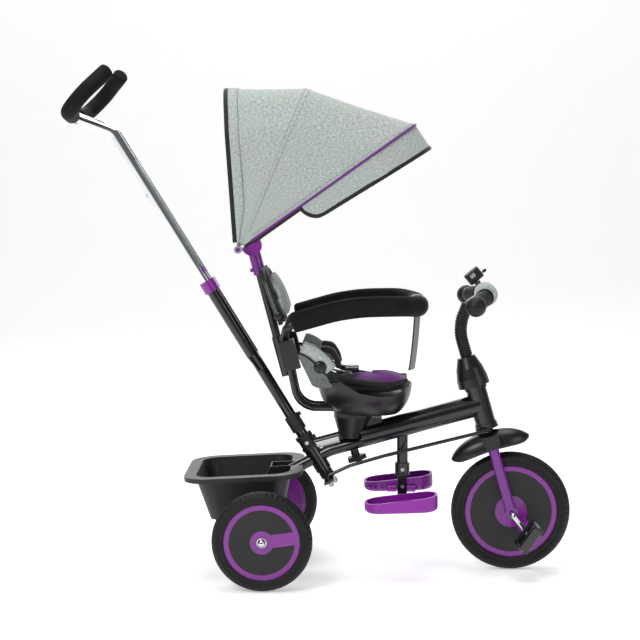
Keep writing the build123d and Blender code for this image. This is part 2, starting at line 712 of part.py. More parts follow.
# ---- push column, handle, link ---------------------------------------------------------------
def push_column():
    """Lower tube, yoke and twin upper tubes, welded, with the crank plate at its foot."""
    body = bar(column(FOOT_S), column(YOKE_LOW + 1), COLUMN_R)
    low = column_plane(YOKE_LOW) * Circle(COLUMN_R)
    high = column_plane(YOKE_HIGH) * (Rot(0, 0, 90) * SlotOverall(2 * (TWIN_Y + TWIN_R), 2 * TWIN_R))
    body += loft([low, high])
    for side in (-1, 1):
        y = side * TWIN_Y
        body += bar(column(YOKE_HIGH - 1, 0, y), column(TWIN_TOP, 0, y), TWIN_R)
    for side in (-1, 1):
        y = side * TWIN_Y
        body -= bar(column(YOKE_HIGH + 3, 0, y), column(TWIN_TOP + 1, 0, y), CHROME_R + RUN)
    plate = column_plane(PLATE_S) * Pos(0, -LINK_Y / 2, 0) * Box(24, LINK_Y + 22, 5)
    body += plate
    body += bar(column(PLATE_S + 5), column(SLEEVE_LOW - 2), COLUMN_R + 3)
    for side in (-1, 1):
        body += bar(column(PLATE_S - 8, side * 7, 8), column(PLATE_S + 7, side * 7, 8), 4)
    return body - bar(column(PLATE_S - 9, 0, -LINK_Y), column(PLATE_S + 12, 0, -LINK_Y), LINK_R + RUN)


def twin_collar():
    """The figure-of-eight collar on top of the twin tubes."""
    outline = Rot(0, 0, 90) * SlotOverall(2 * (TWIN_Y + TWIN_R) + 8, 2 * TWIN_R + 8)
    face = column_plane(TWIN_TOP) * outline
    cap = extrude(face, amount=10)
    face = column_plane(TWIN_TOP - 16) * outline
    skirt = extrude(face, amount=16)
    for side in (-1, 1):
        y = side * TWIN_Y
        skirt -= bar(column(TWIN_TOP - 30, 0, y), column(TWIN_TOP, 0, y), TWIN_R)
    body = cap + skirt
    for side in (-1, 1):
        y = side * TWIN_Y
        body -= bar(column(TWIN_TOP - 2, 0, y), column(TWIN_TOP + 20, 0, y), CHROME_R + RUN)
    return body


def lock_sleeve():
    """The clamp sleeve that locks the column in its socket, with its thumb tab."""
    low = SOCKET_HIGH + 12
    body = ring(column(low), column(low + 36), COLUMN_R + 4, COLUMN_R)
    tab = column_plane(low + 31) * Pos(COLUMN_R + 5, 0, 0) * Box(8, 10, 8)
    return body + (tab - bar(column(low - 5), column(low + 50), COLUMN_R + 1))


def handle_points(side):
    """The route of one side of the push handle's tube."""
    base_x = -517.0
    base_z = 965.0
    rise = radians(47.0)
    points = [column(CHROME_LOW, 0, side * TWIN_Y), column(KINK_S, 0, side * TWIN_Y)]
    for along, out in ((0, TWIN_Y), (10, 122), (58, 150), (124, 108)):
        points.append((base_x + along * cos(rise), side * out, base_z + along * sin(rise)))
    return points


BUTTON_S = 740.0
BUTTON_R = 3.5
HANDLE_BENDS = [30.0, 16.0, 40.0, 44.0]


def handle_tubes():
    """The twin bright tubes, each bent at the top and turned outwards into the handle's loop."""
    sides = []
    for side in (-1, 1):
        sides.append(bent_bar(handle_points(side), HANDLE_BENDS, CHROME_R))
    bridge = bar(column(KINK_S - 60, 0, -TWIN_Y), column(KINK_S - 60, 0, TWIN_Y), 5)
    well = bar(column(BUTTON_S, -CHROME_R - 2, -TWIN_Y), column(BUTTON_S, 2, -TWIN_Y), BUTTON_R + RUN)
    return sides[0] + sides[1] + bridge - well


def handle_foam():
    """A foam grip on each side of the handle's loop."""
    foams = []
    for side in (-1, 1):
        points = handle_points(side)
        a = Vector(*points[2])
        b = Vector(*points[3])
        start = a + (b - a) * 0.16
        tip = Vector(*points[5])
        past = (tip - Vector(*points[4])).normalized() * 3
        route = [tuple(start), points[3], points[4], tuple(tip + past)]
        foam = bent_bar(route, HANDLE_BENDS[2:], FOAM_R)
        foams.append(foam - handle_tubes())
    return Compound(foams)


def height_button():
    """The sprung locking button on the right-hand tube."""
    return bar(column(BUTTON_S, -3, -TWIN_Y), column(BUTTON_S, -CHROME_R - 3.5, -TWIN_Y), BUTTON_R)


def steering_rod():
    """The link rod from the column's crank to the fork crown, with a turned-down eye at the front."""
    rear = Vector(*column(PLATE_S - 8, 0, -LINK_Y))
    rear_top = Vector(*column(PLATE_S + 12, 0, -LINK_Y))
    front = Vector(*steer(CROWN_HIGH + 12, -10, -LINK_Y))
    eye = steer(CROWN_HIGH + 10, -1, -LINK_Y)
    under_beam = [(64.0, -LINK_Y, 228.5), (136.0, -LINK_Y, 250.0)]
    points = [tuple(rear), tuple(rear_top)] + under_beam + [tuple(front), eye]
    return bent_bar(points, [7.0, 60.0, 90.0, 6.0], LINK_R)


# ---- seat ------------------------------------------------------------------------------------
def tub_loft(inset, floor_z):
    """The seat bowl's filled form, inset from its outer face."""
    low = Plane(origin=(104, 0, floor_z)) * Ellipse(62 - inset, 52 - inset)
    mid = Plane(origin=(98, 0, SHELL_MID_Z)) * Ellipse(92 - inset, 102 - inset)
    top = Plane(origin=(97, 0, SHELL_TOP_Z)) * Ellipse(100 - inset, SHELL_HALF_W - inset)
    return loft([low, mid, top])


def seat_shell():
    """The moulded bucket: open at the top, low at each side for the legs, with a front horn."""
    body = tub_loft(0, SHELL_LOW_Z)
    pan = tub_loft(SHELL_T, SHELL_LOW_Z + SHELL_T)
    body -= pan & block(-60, 260, -200, 200, SHELL_PAN_Z, SHELL_TOP_Z + 5)
    rim = [(-40, 408), (3, 404), (46, 416), (85, 394), (129, 386), (158, 386), (192, 402), (230, 402),
           (230, 480), (-40, 480)]
    body -= xz_slab(rim, 41, 200)
    body -= xz_slab(rim, -200, -41)
    body -= block(60, 230, -42, 42, 402, 480)
    body -= block(-40, 61, -42, 42, BACK_RIM_Z, 480)
    body -= Pos(SWIVEL_X, 0, SWIVEL_Z - 12) * Cylinder(PEDESTAL_TOP_R + 3, 31.2)
    return body - spigot_hole() - frame_tubes()


def spigot_hole():
    """The space that the swivel spigot needs."""
    return Pos(SWIVEL_X, 0, SWIVEL_Z + 8) * Cylinder(SPIGOT_R + RUN, 24)


def frame_tubes():
    """The two bent tubes that run from under the seat up to the bracket behind it."""
    tube_z = SWIVEL_Z + GAP + FRAME_TUBE_R
    tubes = []
    for side in (-1, 1):
        y = side * FRAME_TUBE_Y
        points = [(SWIVEL_X - 20, y, tube_z), (-44, y, tube_z + 1), (-58, y, 420), (-67, y, 472)]
        tubes.append(bent_bar(points, [46.0, 30.0], FRAME_TUBE_R))
    return tubes[0] + tubes[1]


def socket_place():
    """The plane through the middle of the guard sockets, square to their bores."""
    t = radians(POST_TILT)
    return Plane(origin=post(SOCKET_LOW_Z + SOCKET_H / 2, SOCKET_FORE), x_dir=(cos(t), 0, sin(t)),
                 z_dir=(-sin(t), 0, cos(t)))


def seat_frame():
    """The swivel plate, two bent tubes behind the seat, and the bracket with the guard sockets."""
    body = Pos(SWIVEL_X, 0, SWIVEL_Z + GAP + 1.6) * Cylinder(PEDESTAL_TOP_R + 2, 3.2)
    body += frame_tubes()
    place = socket_place()
    body += place * Box(14, 2 * SOCKET_Y, SOCKET_H - 24)
    for side in (-1, 1):
        body += place * Pos(0, side * SOCKET_Y, 0) * Box(SOCKET_L, SOCKET_W, SOCKET_H)
    body += bar(post(CLAMP_LOW_Z), post(CLAMP_LOW_Z + 84), POST_R + 2.5)
    body += place * Pos(-8, 0, 0) * Box(16, 20, SOCKET_H - 20)
    body -= bar(post(CLAMP_LOW_Z - 20), post(CLAMP_LOW_Z + 104), POST_R)
    for side in (-1, 1):
        body -= place * Pos(0, side * SOCKET_Y, 8) * Cylinder(LEG_R + RUN, SOCKET_H)
    return body - spigot_hole()


def canopy_post():
    """The straight post behind the backrest."""
    return bar(post(CLAMP_LOW_Z + 2), post(672), POST_R)


def seat_liner():
    """The padded liner: seat, back and two side wings, one sewn piece."""
    half = 92.0
    floor = SHELL_PAN_Z + SOFT_GAP
    seat = [(4, floor), (184, floor), (197, 414), (186, 422), (60, 424), (0, 424)]
    back = [(-48, 484), (-2, floor + 10), (16, floor + 10), (-32, 492)]
    wing = [(-32, 490), (12, 468), (36, 436), (60, 424), (0, 400)]
    body = xz_slab(seat, -half, half) + xz_slab(back, -half, half)
    for side in (-1, 1):
        y0 = min(side * half, side * (half - 16))
        body += xz_slab(wing, y0, y0 + 16)
    inside = tub_loft(SHELL_T + SOFT_GAP, SHELL_LOW_Z + SHELL_T)
    inside &= block(-60, 260, -200, 200, floor, BACK_RIM_Z + 1)
    return (body & inside) + (body & block(-60, 260, -200, 200, BACK_RIM_Z + 1, 520))


def backrest_board():
    """The stiff back panel with its bracket to the post."""
    tilt = 20.0
    place = Pos(-100, 0, 592) * Rot(0, -tilt, 0)
    body = place * Pos(0, 0, -2) * Box(8, 2 * BACK_HALF_W, 120)
    body += bar(post(600), (-102, 0, 606), POST_R - 2)
    body += bar(post(556), (-88, 0, 560), POST_R - 2)
    return body - canopy_post() - bar(post(625), post(700), HUB_SLEEVE_R + 1)


def backrest_pad():
    """The upper back cushion."""
    tilt = 20.0
    place = Pos(-100, 0, 592) * Rot(0, -tilt, 0)
    pad = place * Pos(4.3 + PAD_T / 2, 0, -8) * Box(PAD_T, 2 * BACK_HALF_W - 4, 104)
    return fillet(pad.edges(), 8)


def harness():
    """Two shoulder straps with pads, two hip straps and the buckle, as flat closed strips."""
    straps = []
    for side in (-1, 1):
        y = side * 40
        straps.append(xz_slab([(-20, 480), (-16, 482), (26, 432), (52, 431), (52, 428), (24, 428)],
                              min(y, y + side * 22), max(y, y + side * 22)))
    straps.append(block(54, 84, -32, 32, 426.6, 436))
    body = Compound(straps)
    return body


def guard_axis(side, along):
    """A point on one guard's pivot axis, along up from the socket's middle."""
    t = radians(POST_TILT)
    x, _, z = post(SOCKET_LOW_Z + SOCKET_H / 2, SOCKET_FORE)
    return (x - along * sin(t), side * SOCKET_Y, z + along * cos(t))


MEET_GAP = 0.4


def guard(side):
    """One half of the safety bar: a leg in its socket and a foam-covered arm that meets the other half."""
    top = SOCKET_H / 2
    collar = bar(guard_axis(side, top + GAP), guard_axis(side, top + 6), LEG_R + 3)
    y = side * ARM_Y
    leg_route = [guard_axis(side, -top + 10), guard_axis(side, top + 12), (-66, y, 530), (-36, y, 545)]
    leg = bent_bar(leg_route, [10.0, 14.0], LEG_R)
    foam_route = [(-55, y, 539), (60, y, 572), (170, y, 575), (205, side * 62, 570), (210, -side * 2, 568)]
    foam = bent_bar(foam_route, [180.0, 46.0, 46.0], ARM_R)
    body = leg + collar + foam
    far = -side * 60
    near = side * MEET_GAP
    return body - block(150, 280, min(far, near), max(far, near), 500, 620)


def crotch_strap():
    """The flat strap from the guard's front down to the seat's front."""
    return xz_slab([(203, 544), (207, 544), (197, 430), (193, 430)], -27, -2)


def footrests():
    """Both footrests."""
    return {"footrest_left": foot_plate(1), "footrest_right": foot_plate(-1)}


# ---- canopy ----------------------------------------------------------------------------------
def canopy_hub():
    """The sleeve on the post, the hub above it and the cross shaft that carries the hoops."""
    sleeve = bar(post(633), post(686), HUB_SLEEVE_R)
    hub = y_cyl(PIVOT_X + 19, PIVOT_Z, 21, -20, 20)
    shaft = y_cyl(PIVOT_X, PIVOT_Z, 8, -(HOOP_HALF["rear"] - 6), HOOP_HALF["rear"] - 6)
    pins = y_cyl(PIVOT_X, PIVOT_Z, PIN_R, -(HOOP_HALF["front"] + 6), HOOP_HALF["front"] + 6)
    tab = bar(post(645, -HUB_SLEEVE_R + 2), post(645, -HUB_SLEEVE_R - 5), 4)
    return sleeve + hub + shaft + pins + tab - canopy_post()


def hoop_plane(name):
    """The plane of one hoop: X across the tricycle, Y away from the pivot."""
    a = radians(HOOP_ANGLE[name])
    return Plane(origin=(PIVOT_X, 0, PIVOT_Z), x_dir=(0, 1, 0), z_dir=(sin(a), 0, -cos(a)))


def hoop(name):
    """One bent-wire hoop with an eye at each end."""
    half = HOOP_HALF[name]
    reach = HOOP_REACH[name] - HOOP_R
    plane = hoop_plane(name)
    crown = half - HOOP_CORNER
    shoulder = reach - HOOP_SHOULDER
    start = PIN_R + 2
    local = [(-half, start), (-half, shoulder), (-crown, reach), (crown, reach), (half, shoulder),
             (half, start)]
    points = [tuple(plane.from_local_coords(Vector(u, hoop_side(v, plane), 0))) for u, v in local]
    wire = bent_bar(points, 60.0, HOOP_R)
    for side in (-1, 1):
        wire += y_cyl(PIVOT_X, PIVOT_Z, EYE_R, side * (half - EYE_HALF_W), side * (half + EYE_HALF_W))
    for side in (-1, 1):
        wire -= y_cyl(PIVOT_X, PIVOT_Z, PIN_R + RUN, side * (half - 5), side * (half + 5))
    return wire


def hoop_side(v, plane):
    """The signed distance along the plane's Y axis that points away from the pivot and up."""
    return v if plane.y_dir.Z > 0 else -v


def band(name, offset):
    """The flat outline of the fabric over one hoop, in that hoop's plane."""
    half = HOOP_HALF["front"] + 5 + offset
    reach = HOOP_REACH[name] + offset
    plane = hoop_plane(name)
    crown = half - HOOP_CORNER
    shoulder = reach - HOOP_SHOULDER
    local = [(-half, CANOPY_START), (-half, shoulder), (-crown, reach), (crown, reach), (half, shoulder),
             (half, CANOPY_START)]
    points = [(u, hoop_side(v, plane)) for u, v in local]
    return plane, points


def fabric_section(name):
    """A thin closed band round one hoop."""
    plane, outer = band(name, FABRIC_T + SOFT_GAP)
    _, inner = band(name, SOFT_GAP)
    return plane * make_face(Polyline(*(outer + inner[::-1]), close=True))


def panel(first, second):
    """The fabric between two hoops."""
    return loft([fabric_section(first), fabric_section(second)], ruled=True)


def brim_outline(offset):
    """The outline of the brim's band along the front hoop, open at its lower ends."""
    plane, points = band("front", offset)
    low = HOOP_REACH["front"] - VISOR_SIDE
    half = points[0][0]
    return plane, [(half, hoop_side(low, plane))] + points[1:5] + [(-half, hoop_side(low, plane))]


def visor():
    """The brim in front of the front hoop, from half-way up each side."""
    plane, outer = brim_outline(FABRIC_T + SOFT_GAP)
    _, inner = brim_outline(SOFT_GAP)
    back = plane * make_face(Polyline(*(outer + inner[::-1]), close=True))
    a = radians(HOOP_ANGLE["front"])
    front = Pos(VISOR_DROP * sin(a), 0, -VISOR_DROP * cos(a)) * back
    return loft([Pos(0.35 * sin(a), 0, -0.35 * cos(a)) * back, front], ruled=True)


# ---- the nodes -------------------------------------------------------------------------------
def nodes():
    """Every named piece."""
    made = {
        "head_tube": head_tube(),
        "bearing_cups": bearing_cups(),
        "main_tube": main_tube(),
        "rear_tube": rear_tube(),
        "rear_axle": rear_axle(),
        "axle_nuts": axle_nuts(),
        "column_socket": column_socket() - main_tube(),
        "frame_bolts": frame_bolts(),
        "footrest_post": footrest_post(),
        "storage_bin": storage_bin(),
        "seat_pedestal": seat_pedestal(),
        "seat_knob": seat_knob(),
        "front_tyre": tyre(FRONT_AXLE_X, 0, FRONT_R, FRONT_R, FRONT_TYRE_W, TYRE_DEPTH),
        "front_core": wheel_core(FRONT_AXLE_X, 0, FRONT_R, FRONT_SEAT_R, FRONT_TYRE_W, FRONT_HUB_R,
                                 FRONT_SPOKE_ANGLE, (1, -1), CRANK_R),
        "front_covers": front_covers(),
        "crank": crank(),
        "pedal_left": pedal(1),
        "pedal_right": pedal(-1),
        "fork_crown": fork_crown(),
        "fork_blades": fork_blades(),
        "mudguard": mudguard(),
        "headset_cover": headset_cover(),
        "stem_bellows": stem_bellows(),
        "handlebar": handlebar(),
        "handlebar_grips": handlebar_grips(),
        "handlebar_pad": handlebar_pad(),
        "bell_body": bell_body(),
        "bell_lever": bell_lever(),
        "push_column": push_column(),
        "twin_collar": twin_collar(),
        "lock_sleeve": lock_sleeve(),
        "handle_tubes": handle_tubes(),
        "handle_foam": handle_foam(),
        "height_button": height_button(),
        "steering_rod": steering_rod(),
        "seat_shell": seat_shell(),
        "seat_frame": seat_frame(),
        "canopy_post": canopy_post(),
        "seat_liner": seat_liner(),
        "backrest_board": backrest_board(),
        "backrest_pad": backrest_pad(),
        "harness": harness(),
        "guard_left": guard(1),
        "guard_right": guard(-1),
        "crotch_strap": crotch_strap(),
        "canopy_hub": canopy_hub(),
        "canopy_rear_hoop": hoop("rear"),
        "canopy_mid_hoop": hoop("mid"),
        "canopy_front_hoop": hoop("front"),
        "canopy_rear_panel": panel("rear", "mid"),
        "canopy_front_panel": panel("mid", "front"),
        "canopy_visor": visor(),
    }
    made.update(footrests())
    for side, word in ((1, "left"), (-1, "right")):
        for piece, solid in rear_wheel(side).items():
            made[f"rear_{piece}_{word}"] = solid
    return made


if __name__ == "__main__":
    os.makedirs("parts", exist_ok=True)
    for name, solid in nodes().items():
        export_step(solid, f"parts/{name}.step")
        print(name, round(solid.volume))
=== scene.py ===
"""Children's push tricycle: its finishes, soft goods and small fittings.

Every size is in millimetres until a mesh is made, and every mesh is in metres in the frame that the
engineered parts use: X forward, Y to the rider's left, Z up, with the origin on the ground.
"""

import logging
import math
from dataclasses import dataclass, field
from enum import Enum
from typing import Any, Callable, Optional, Sequence

import bpy
from mathutils import Matrix, Vector, noise


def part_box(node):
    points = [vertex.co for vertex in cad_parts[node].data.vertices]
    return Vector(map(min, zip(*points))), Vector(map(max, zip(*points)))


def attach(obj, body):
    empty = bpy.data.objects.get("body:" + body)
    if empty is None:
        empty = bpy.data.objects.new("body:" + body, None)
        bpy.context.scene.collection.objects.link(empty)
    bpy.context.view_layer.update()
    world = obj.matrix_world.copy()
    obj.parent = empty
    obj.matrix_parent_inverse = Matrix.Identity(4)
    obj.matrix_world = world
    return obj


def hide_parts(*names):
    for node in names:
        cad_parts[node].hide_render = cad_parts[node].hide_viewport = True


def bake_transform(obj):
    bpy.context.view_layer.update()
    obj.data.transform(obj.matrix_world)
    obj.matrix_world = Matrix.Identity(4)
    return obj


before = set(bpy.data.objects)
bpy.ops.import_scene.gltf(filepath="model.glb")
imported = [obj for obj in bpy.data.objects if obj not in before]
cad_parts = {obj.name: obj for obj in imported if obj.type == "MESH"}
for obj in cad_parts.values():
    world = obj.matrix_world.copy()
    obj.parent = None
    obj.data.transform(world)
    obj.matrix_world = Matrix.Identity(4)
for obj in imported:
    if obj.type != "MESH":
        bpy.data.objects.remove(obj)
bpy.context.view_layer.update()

LOG = logging.getLogger("tricycle")
MM = 0.001
Point = Sequence[float]
Inputs = dict[Any, Any]


class Side(Enum):
    """The rider's left and right, as the sign of Y."""

    LEFT = 1
    RIGHT = -1


class Coordinates(Enum):
    """What a woven pattern is measured along."""

    SEWN = "UV"
    FRAME = "Object"


# ---- node and mesh helpers -------------------------------------------------------------------
def linear(hex_colour: str) -> tuple[float, float, float, float]:
    """Turn an sRGB hex value into linear RGBA.

    Args:
        hex_colour: A colour such as "#6E1590".

    Returns:
        Red, green, blue and alpha, linear.
    """
    shares = [int(hex_colour[i : i + 2], 16) / 255 for i in (1, 3, 5)]
    parts = [s / 12.92 if s <= 0.04045 else ((s + 0.055) / 1.055) ** 2.4 for s in shares]
    return (parts[0], parts[1], parts[2], 1.0)


def add_node(tree: bpy.types.NodeTree, kind: str, inputs: Optional[Inputs] = None,
             **settings: Any) -> bpy.types.Node:
    """Add one shader node.

    Args:
        tree: The node tree it goes in.
        kind: Its Blender type name.
        inputs: Socket name or number to a value, or to another node's output to link.
        **settings: The node's own properties.

    Returns:
        The new node.
    """
    node = tree.nodes.new(kind)
    for name, value in settings.items():
        setattr(node, name, value)
    for name, value in (inputs or {}).items():
        if isinstance(value, bpy.types.NodeSocket):
            tree.links.new(value, node.inputs[name])
        else:
            node.inputs[name].default_value = value
    return node


def start_material(name: str) -> tuple[bpy.types.Material, bpy.types.NodeTree]:
    """Make an empty material.

    Args:
        name: The finish's plain name.

    Returns:
        The material and its node tree, with no nodes in it.
    """
    material = bpy.data.materials.new(name)
    material.use_nodes = True
    material.node_tree.nodes.clear()
    return material, material.node_tree


def shade(tree: bpy.types.NodeTree, inputs: Inputs) -> None:
    """Finish a material with one Principled shader and its output.

    Args:
        tree: The material's node tree.
        inputs: What the shader's sockets take.
    """
    shader = add_node(tree, "ShaderNodeBsdfPrincipled", inputs)
    add_node(tree, "ShaderNodeOutputMaterial", {"Surface": shader.outputs["BSDF"]})


def mix_colours(tree: bpy.types.NodeTree, factor: Any, first: Any, second: Any, blend: str = "MIX") -> Any:
    """Mix two colours.

    Args:
        tree: The material's node tree.
        factor: Share of the second, or a socket that gives it.
        first: A linear colour or a socket.
        second: A linear colour or a socket.
        blend: Blender's blend type.

    Returns:
        The colour socket of the mix.
    """
    inputs = {0: factor, 6: first, 7: second}
    return add_node(tree, "ShaderNodeMix", inputs, data_type="RGBA", blend_type=blend).outputs[2]


def make_piece(name: str, verts: Sequence[Vector], faces: Sequence[Sequence[int]],
               finish: bpy.types.Material,
               uvs: Optional[Sequence[tuple[float, float]]] = None) -> bpy.types.Object:
    """Make a smooth-shaded mesh object from points in millimetres.

    Args:
        name: The piece's name.
        verts: Points in millimetres.
        faces: Vertex numbers of each face.
        finish: Its material.
        uvs: One cloth position in metres for each vertex.

    Returns:
        The new object.
    """
    mesh = bpy.data.meshes.new(name)
    mesh.from_pydata([tuple(v * MM) for v in verts], [], [tuple(f) for f in faces])
    mesh.polygons.foreach_set("use_smooth", [True] * len(mesh.polygons))
    mesh.materials.append(finish)
    if uvs is not None:
        layer = mesh.uv_layers.new(name="cloth")
        for loop in mesh.loops:
            layer.data[loop.index].uv = uvs[loop.vertex_index]
    mesh.validate()
    mesh.update()
    piece = bpy.data.objects.new(name, mesh)
    bpy.context.scene.collection.objects.link(piece)
    return piece


def join(name: str, pieces: Sequence[bpy.types.Object]) -> bpy.types.Object:
    """Join several mesh objects into one.

    Args:
        name: The joined piece's name.
        pieces: The objects, which become one.

    Returns:
        The joined object.
    """
    verts: list[Vector] = []
    faces: list[tuple[int, ...]] = []
    slots: list[int] = []
    finishes: list[bpy.types.Material] = []
    for piece in pieces:
        base = len(verts)
        verts.extend(v.co / MM for v in piece.data.vertices)
        for face in piece.data.polygons:
            finish = piece.data.materials[face.material_index]
            if finish not in finishes:
                finishes.append(finish)
            faces.append(tuple(base + i for i in face.vertices))
            slots.append(finishes.index(finish))
    joined = make_piece(name, verts, faces, finishes[0])
    for finish in finishes[1:]:
        joined.data.materials.append(finish)
    joined.data.polygons.foreach_set("material_index", slots)
    for piece in pieces:
        bpy.data.objects.remove(piece, do_unlink=True)
    return joined


def round_corners(points: Sequence[Point], radii: Sequence[float], step: float = 4.0) -> list[Vector]:
    """Round the corners of a route.

    Args:
        points: The route's corners, in millimetres.
        radii: One bend radius for each inner corner.
        step: How far apart the arc's points are.

    Returns:
        Points along straight runs and arcs.
    """
    corners = [Vector(p) for p in points]
    route = [corners[0]]
    for i in range(1, len(corners) - 1):
        before = (corners[i - 1] - corners[i]).normalized()
        after = (corners[i + 1] - corners[i]).normalized()
        inner = before.angle(after, math.pi)
        turn = math.pi - inner
        room = 0.48 * min((corners[i - 1] - corners[i]).length, (corners[i + 1] - corners[i]).length)
        if turn < 0.01:
            route.append(corners[i])
            continue
        radius = min(radii[i - 1], room / math.tan(turn / 2))
        centre = corners[i] + (before + after).normalized() * (radius / math.cos(turn / 2))
        first = corners[i] + before * radius * math.tan(turn / 2) - centre
        last = corners[i] + after * radius * math.tan(turn / 2) - centre
        count = max(4, int(radius * turn / step))
        axis = first.cross(last).normalized()
        for k in range(count + 1):
            route.append(centre + Matrix.Rotation(turn * k / count, 3, axis) @ first)
    route.append(corners[-1])
    return route


def walk(route: Sequence[Vector], stations: Sequence[float]) -> list[Vector]:
    """Find points at given distances along a route.

    Args:
        route: The route's points.
        stations: Distances from its start, rising.

    Returns:
        One point for each distance.
    """
    found: list[Vector] = []
    i, done = 0, 0.0
    for station in stations:
        while i < len(route) - 2 and done + (route[i + 1] - route[i]).length < station:
            done += (route[i + 1] - route[i]).length
            i += 1
        run = (route[i + 1] - route[i]).length
        found.append(route[i].lerp(route[i + 1], min(1.0, (station - done) / run) if run else 0.0))
    return found


def route_length(route: Sequence[Vector]) -> float:
    """The length of a route in its own unit."""
    return sum((b - a).length for a, b in zip(route, route[1:]))


def sweep(name: str, route: Sequence[Vector], section: tuple[float, float], finish: bpy.types.Material,
          sides: int = 20, step: float = 4.0, end_round: float = 0.0, up: Optional[Vector] = None,
          swell: Optional[Callable[[float, float], float]] = None, power: float = 2.0,
          far_round: Optional[float] = None) -> bpy.types.Object:
    """Run a rounded section along a route.

    Args:
        name: The piece's name.
        route: Points in millimetres.
        section: Half width and half height of the section.
        finish: Its material.
        sides: Points round the section.
        step: Distance between sections.
        end_round: Radius that rounds off each end.
        up: The direction of the section's height, or none for a round section.
        swell: Extra radius from the distance along and the angle round.
        power: 2 for an ellipse, more for a section with flatter faces.
        far_round: The far end's rounding, where it isn't the near end's.

    Returns:
        The new object.
    """
    far_end = end_round if far_round is None else far_round
    total = route_length(route)
    middle = total - end_round - far_end
    count = max(2, int(middle / step))
    inner = [end_round + middle * k / count for k in range(count + 1)]
    near_arc = [end_round * (1 - math.cos(math.pi / 2 * k / 7)) for k in range(7)] if end_round else []
    far_arc = [far_end * (1 - math.cos(math.pi / 2 * k / 7)) for k in range(7)] if far_end else []
    stations = near_arc + inner + [total - a for a in reversed(far_arc)]
    line = walk(route, stations)
    verts: list[Vector] = []
    side = Vector((0, 0, 0))
    for i, at in enumerate(line):
        ahead = (line[min(i + 1, len(line) - 1)] - line[max(i - 1, 0)]).normalized()
        if up is not None:
            side = ahead.cross(up).normalized()
        elif i == 0:
            start = Vector((0, 0, 1)) if abs(ahead.z) < 0.9 else Vector((0, 1, 0))
            side = ahead.cross(start).normalized()
        else:
            side = (side - ahead * side.dot(ahead)).normalized()
        lift = side.cross(ahead).normalized()
        inset = 0.0
        for gone, bevel in ((stations[i], end_round), (total - stations[i], far_end)):
            if bevel and gone < bevel:
                inset = bevel - math.sqrt(max(0.0, bevel**2 - (bevel - gone) ** 2))
        for k in range(sides):
            turn = 2 * math.pi * k / sides
            c, s = math.cos(turn), math.sin(turn)
            c = math.copysign(abs(c) ** (2 / power), c)
            s = math.copysign(abs(s) ** (2 / power), s)
            extra = swell(stations[i], turn) if swell else 0.0
            wide = max(0.05, section[0] + extra - inset)
            high = max(0.05, section[1] + extra - inset)
            verts.append(at + side * c * wide + lift * s * high)
    faces = [tuple(range(sides))[::-1], tuple(range(len(verts) - sides, len(verts)))]
    for i in range(len(line) - 1):
        for k in range(sides):
            a, b = i * sides + k, i * sides + (k + 1) % sides
            faces.append((a, b, b + sides, a + sides))
    return make_piece(name, verts, faces, finish)


def turned(name: str, profile: Sequence[tuple[float, float]], centre: Point, axis: Vector,
           finish: bpy.types.Material, segments: int = 64, closed: bool = False,
           cut: Optional[Callable[[int, int], float]] = None) -> bpy.types.Object:
    """Turn a profile about an axis.

    Args:
        name: The piece's name.
        profile: (radius, along) points in millimetres.
        centre: Where the profile's zero stands.
        axis: The direction of along.
        finish: Its material.
        segments: Steps round the axis.
        closed: True where the profile is a loop, such as a tyre's.
        cut: Change in radius from the profile's point and the step round.

    Returns:
        The new object.
    """
    axis = axis.normalized()
    first = axis.cross(Vector((0, 0, 1)) if abs(axis.z) < 0.9 else Vector((1, 0, 0))).normalized()
    second = axis.cross(first)
    count = len(profile)
    verts: list[Vector] = []
    for j in range(segments):
        turn = 2 * math.pi * j / segments
        out = first * math.cos(turn) + second * math.sin(turn)
        for i, (radius, along) in enumerate(profile):
            change = cut(i, j) if cut else 0.0
            verts.append(Vector(centre) + axis * along + out * (radius + change))
    faces = []
    for j in range(segments):
        following = (j + 1) % segments
        for i in range(count if closed else count - 1):
            k = (i + 1) % count
            faces.append((j * count + i, following * count + i, following * count + k, j * count + k))
    if not closed:
        faces.append(tuple(j * count for j in range(segments))[::-1])
        faces.append(tuple(j * count + count - 1 for j in range(segments)))
    return make_piece(name, verts, faces, finish)


def cloth_grid(name: str, place: Callable[[float, float], Vector], across: int, along: int, thickness: float,
               size: tuple[float, float], finish: bpy.types.Material) -> bpy.types.Object:
    """Make a thin sheet with two faces and a rim from a function of two shares.

    Args:
        name: The piece's name.
        place: Point in millimetres from the share across and the share along.
        across: Steps across.
        along: Steps along.
        thickness: The cloth's thickness in millimetres.
        size: The flat cut's width and length in millimetres.
        finish: Its material.

    Returns:
        The new object.
    """
    grid = [[place(i / across, j / along) for j in range(along + 1)] for i in range(across + 1)]
    outer: list[Vector] = []
    inner: list[Vector] = []
    uvs: list[tuple[float, float]] = []
    for i in range(across + 1):
        for j in range(along + 1):
            run = grid[min(i + 1, across)][j] - grid[max(i - 1, 0)][j]
            rise = grid[i][min(j + 1, along)] - grid[i][max(j - 1, 0)]
            normal = run.cross(rise).normalized()
            outer.append(grid[i][j] + normal * thickness / 2)
            inner.append(grid[i][j] - normal * thickness / 2)
            uvs.append((size[0] * MM * i / across, size[1] * MM * j / along))
    verts = outer + inner
    base, row = len(outer), along + 1
    faces: list[tuple[int, ...]] = []
    for i in range(across):
        for j in range(along):
            a = i * row + j
            faces.append((a, a + row, a + row + 1, a + 1))
            faces.append((base + a, base + a + 1, base + a + row + 1, base + a + row))
    for i in range(across):
        for j in (0, along):
            a, b = i * row + j, (i + 1) * row + j
            faces.append((a, base + a, base + b, b) if j == 0 else (a, b, base + b, base + a))
    for j in range(along):
        for i in (0, across):
            a, b = i * row + j, i * row + j + 1
            faces.append((a, b, base + b, base + a) if i == 0 else (a, base + a, base + b, b))
    return make_piece(name, verts, faces, finish, uvs + uvs)


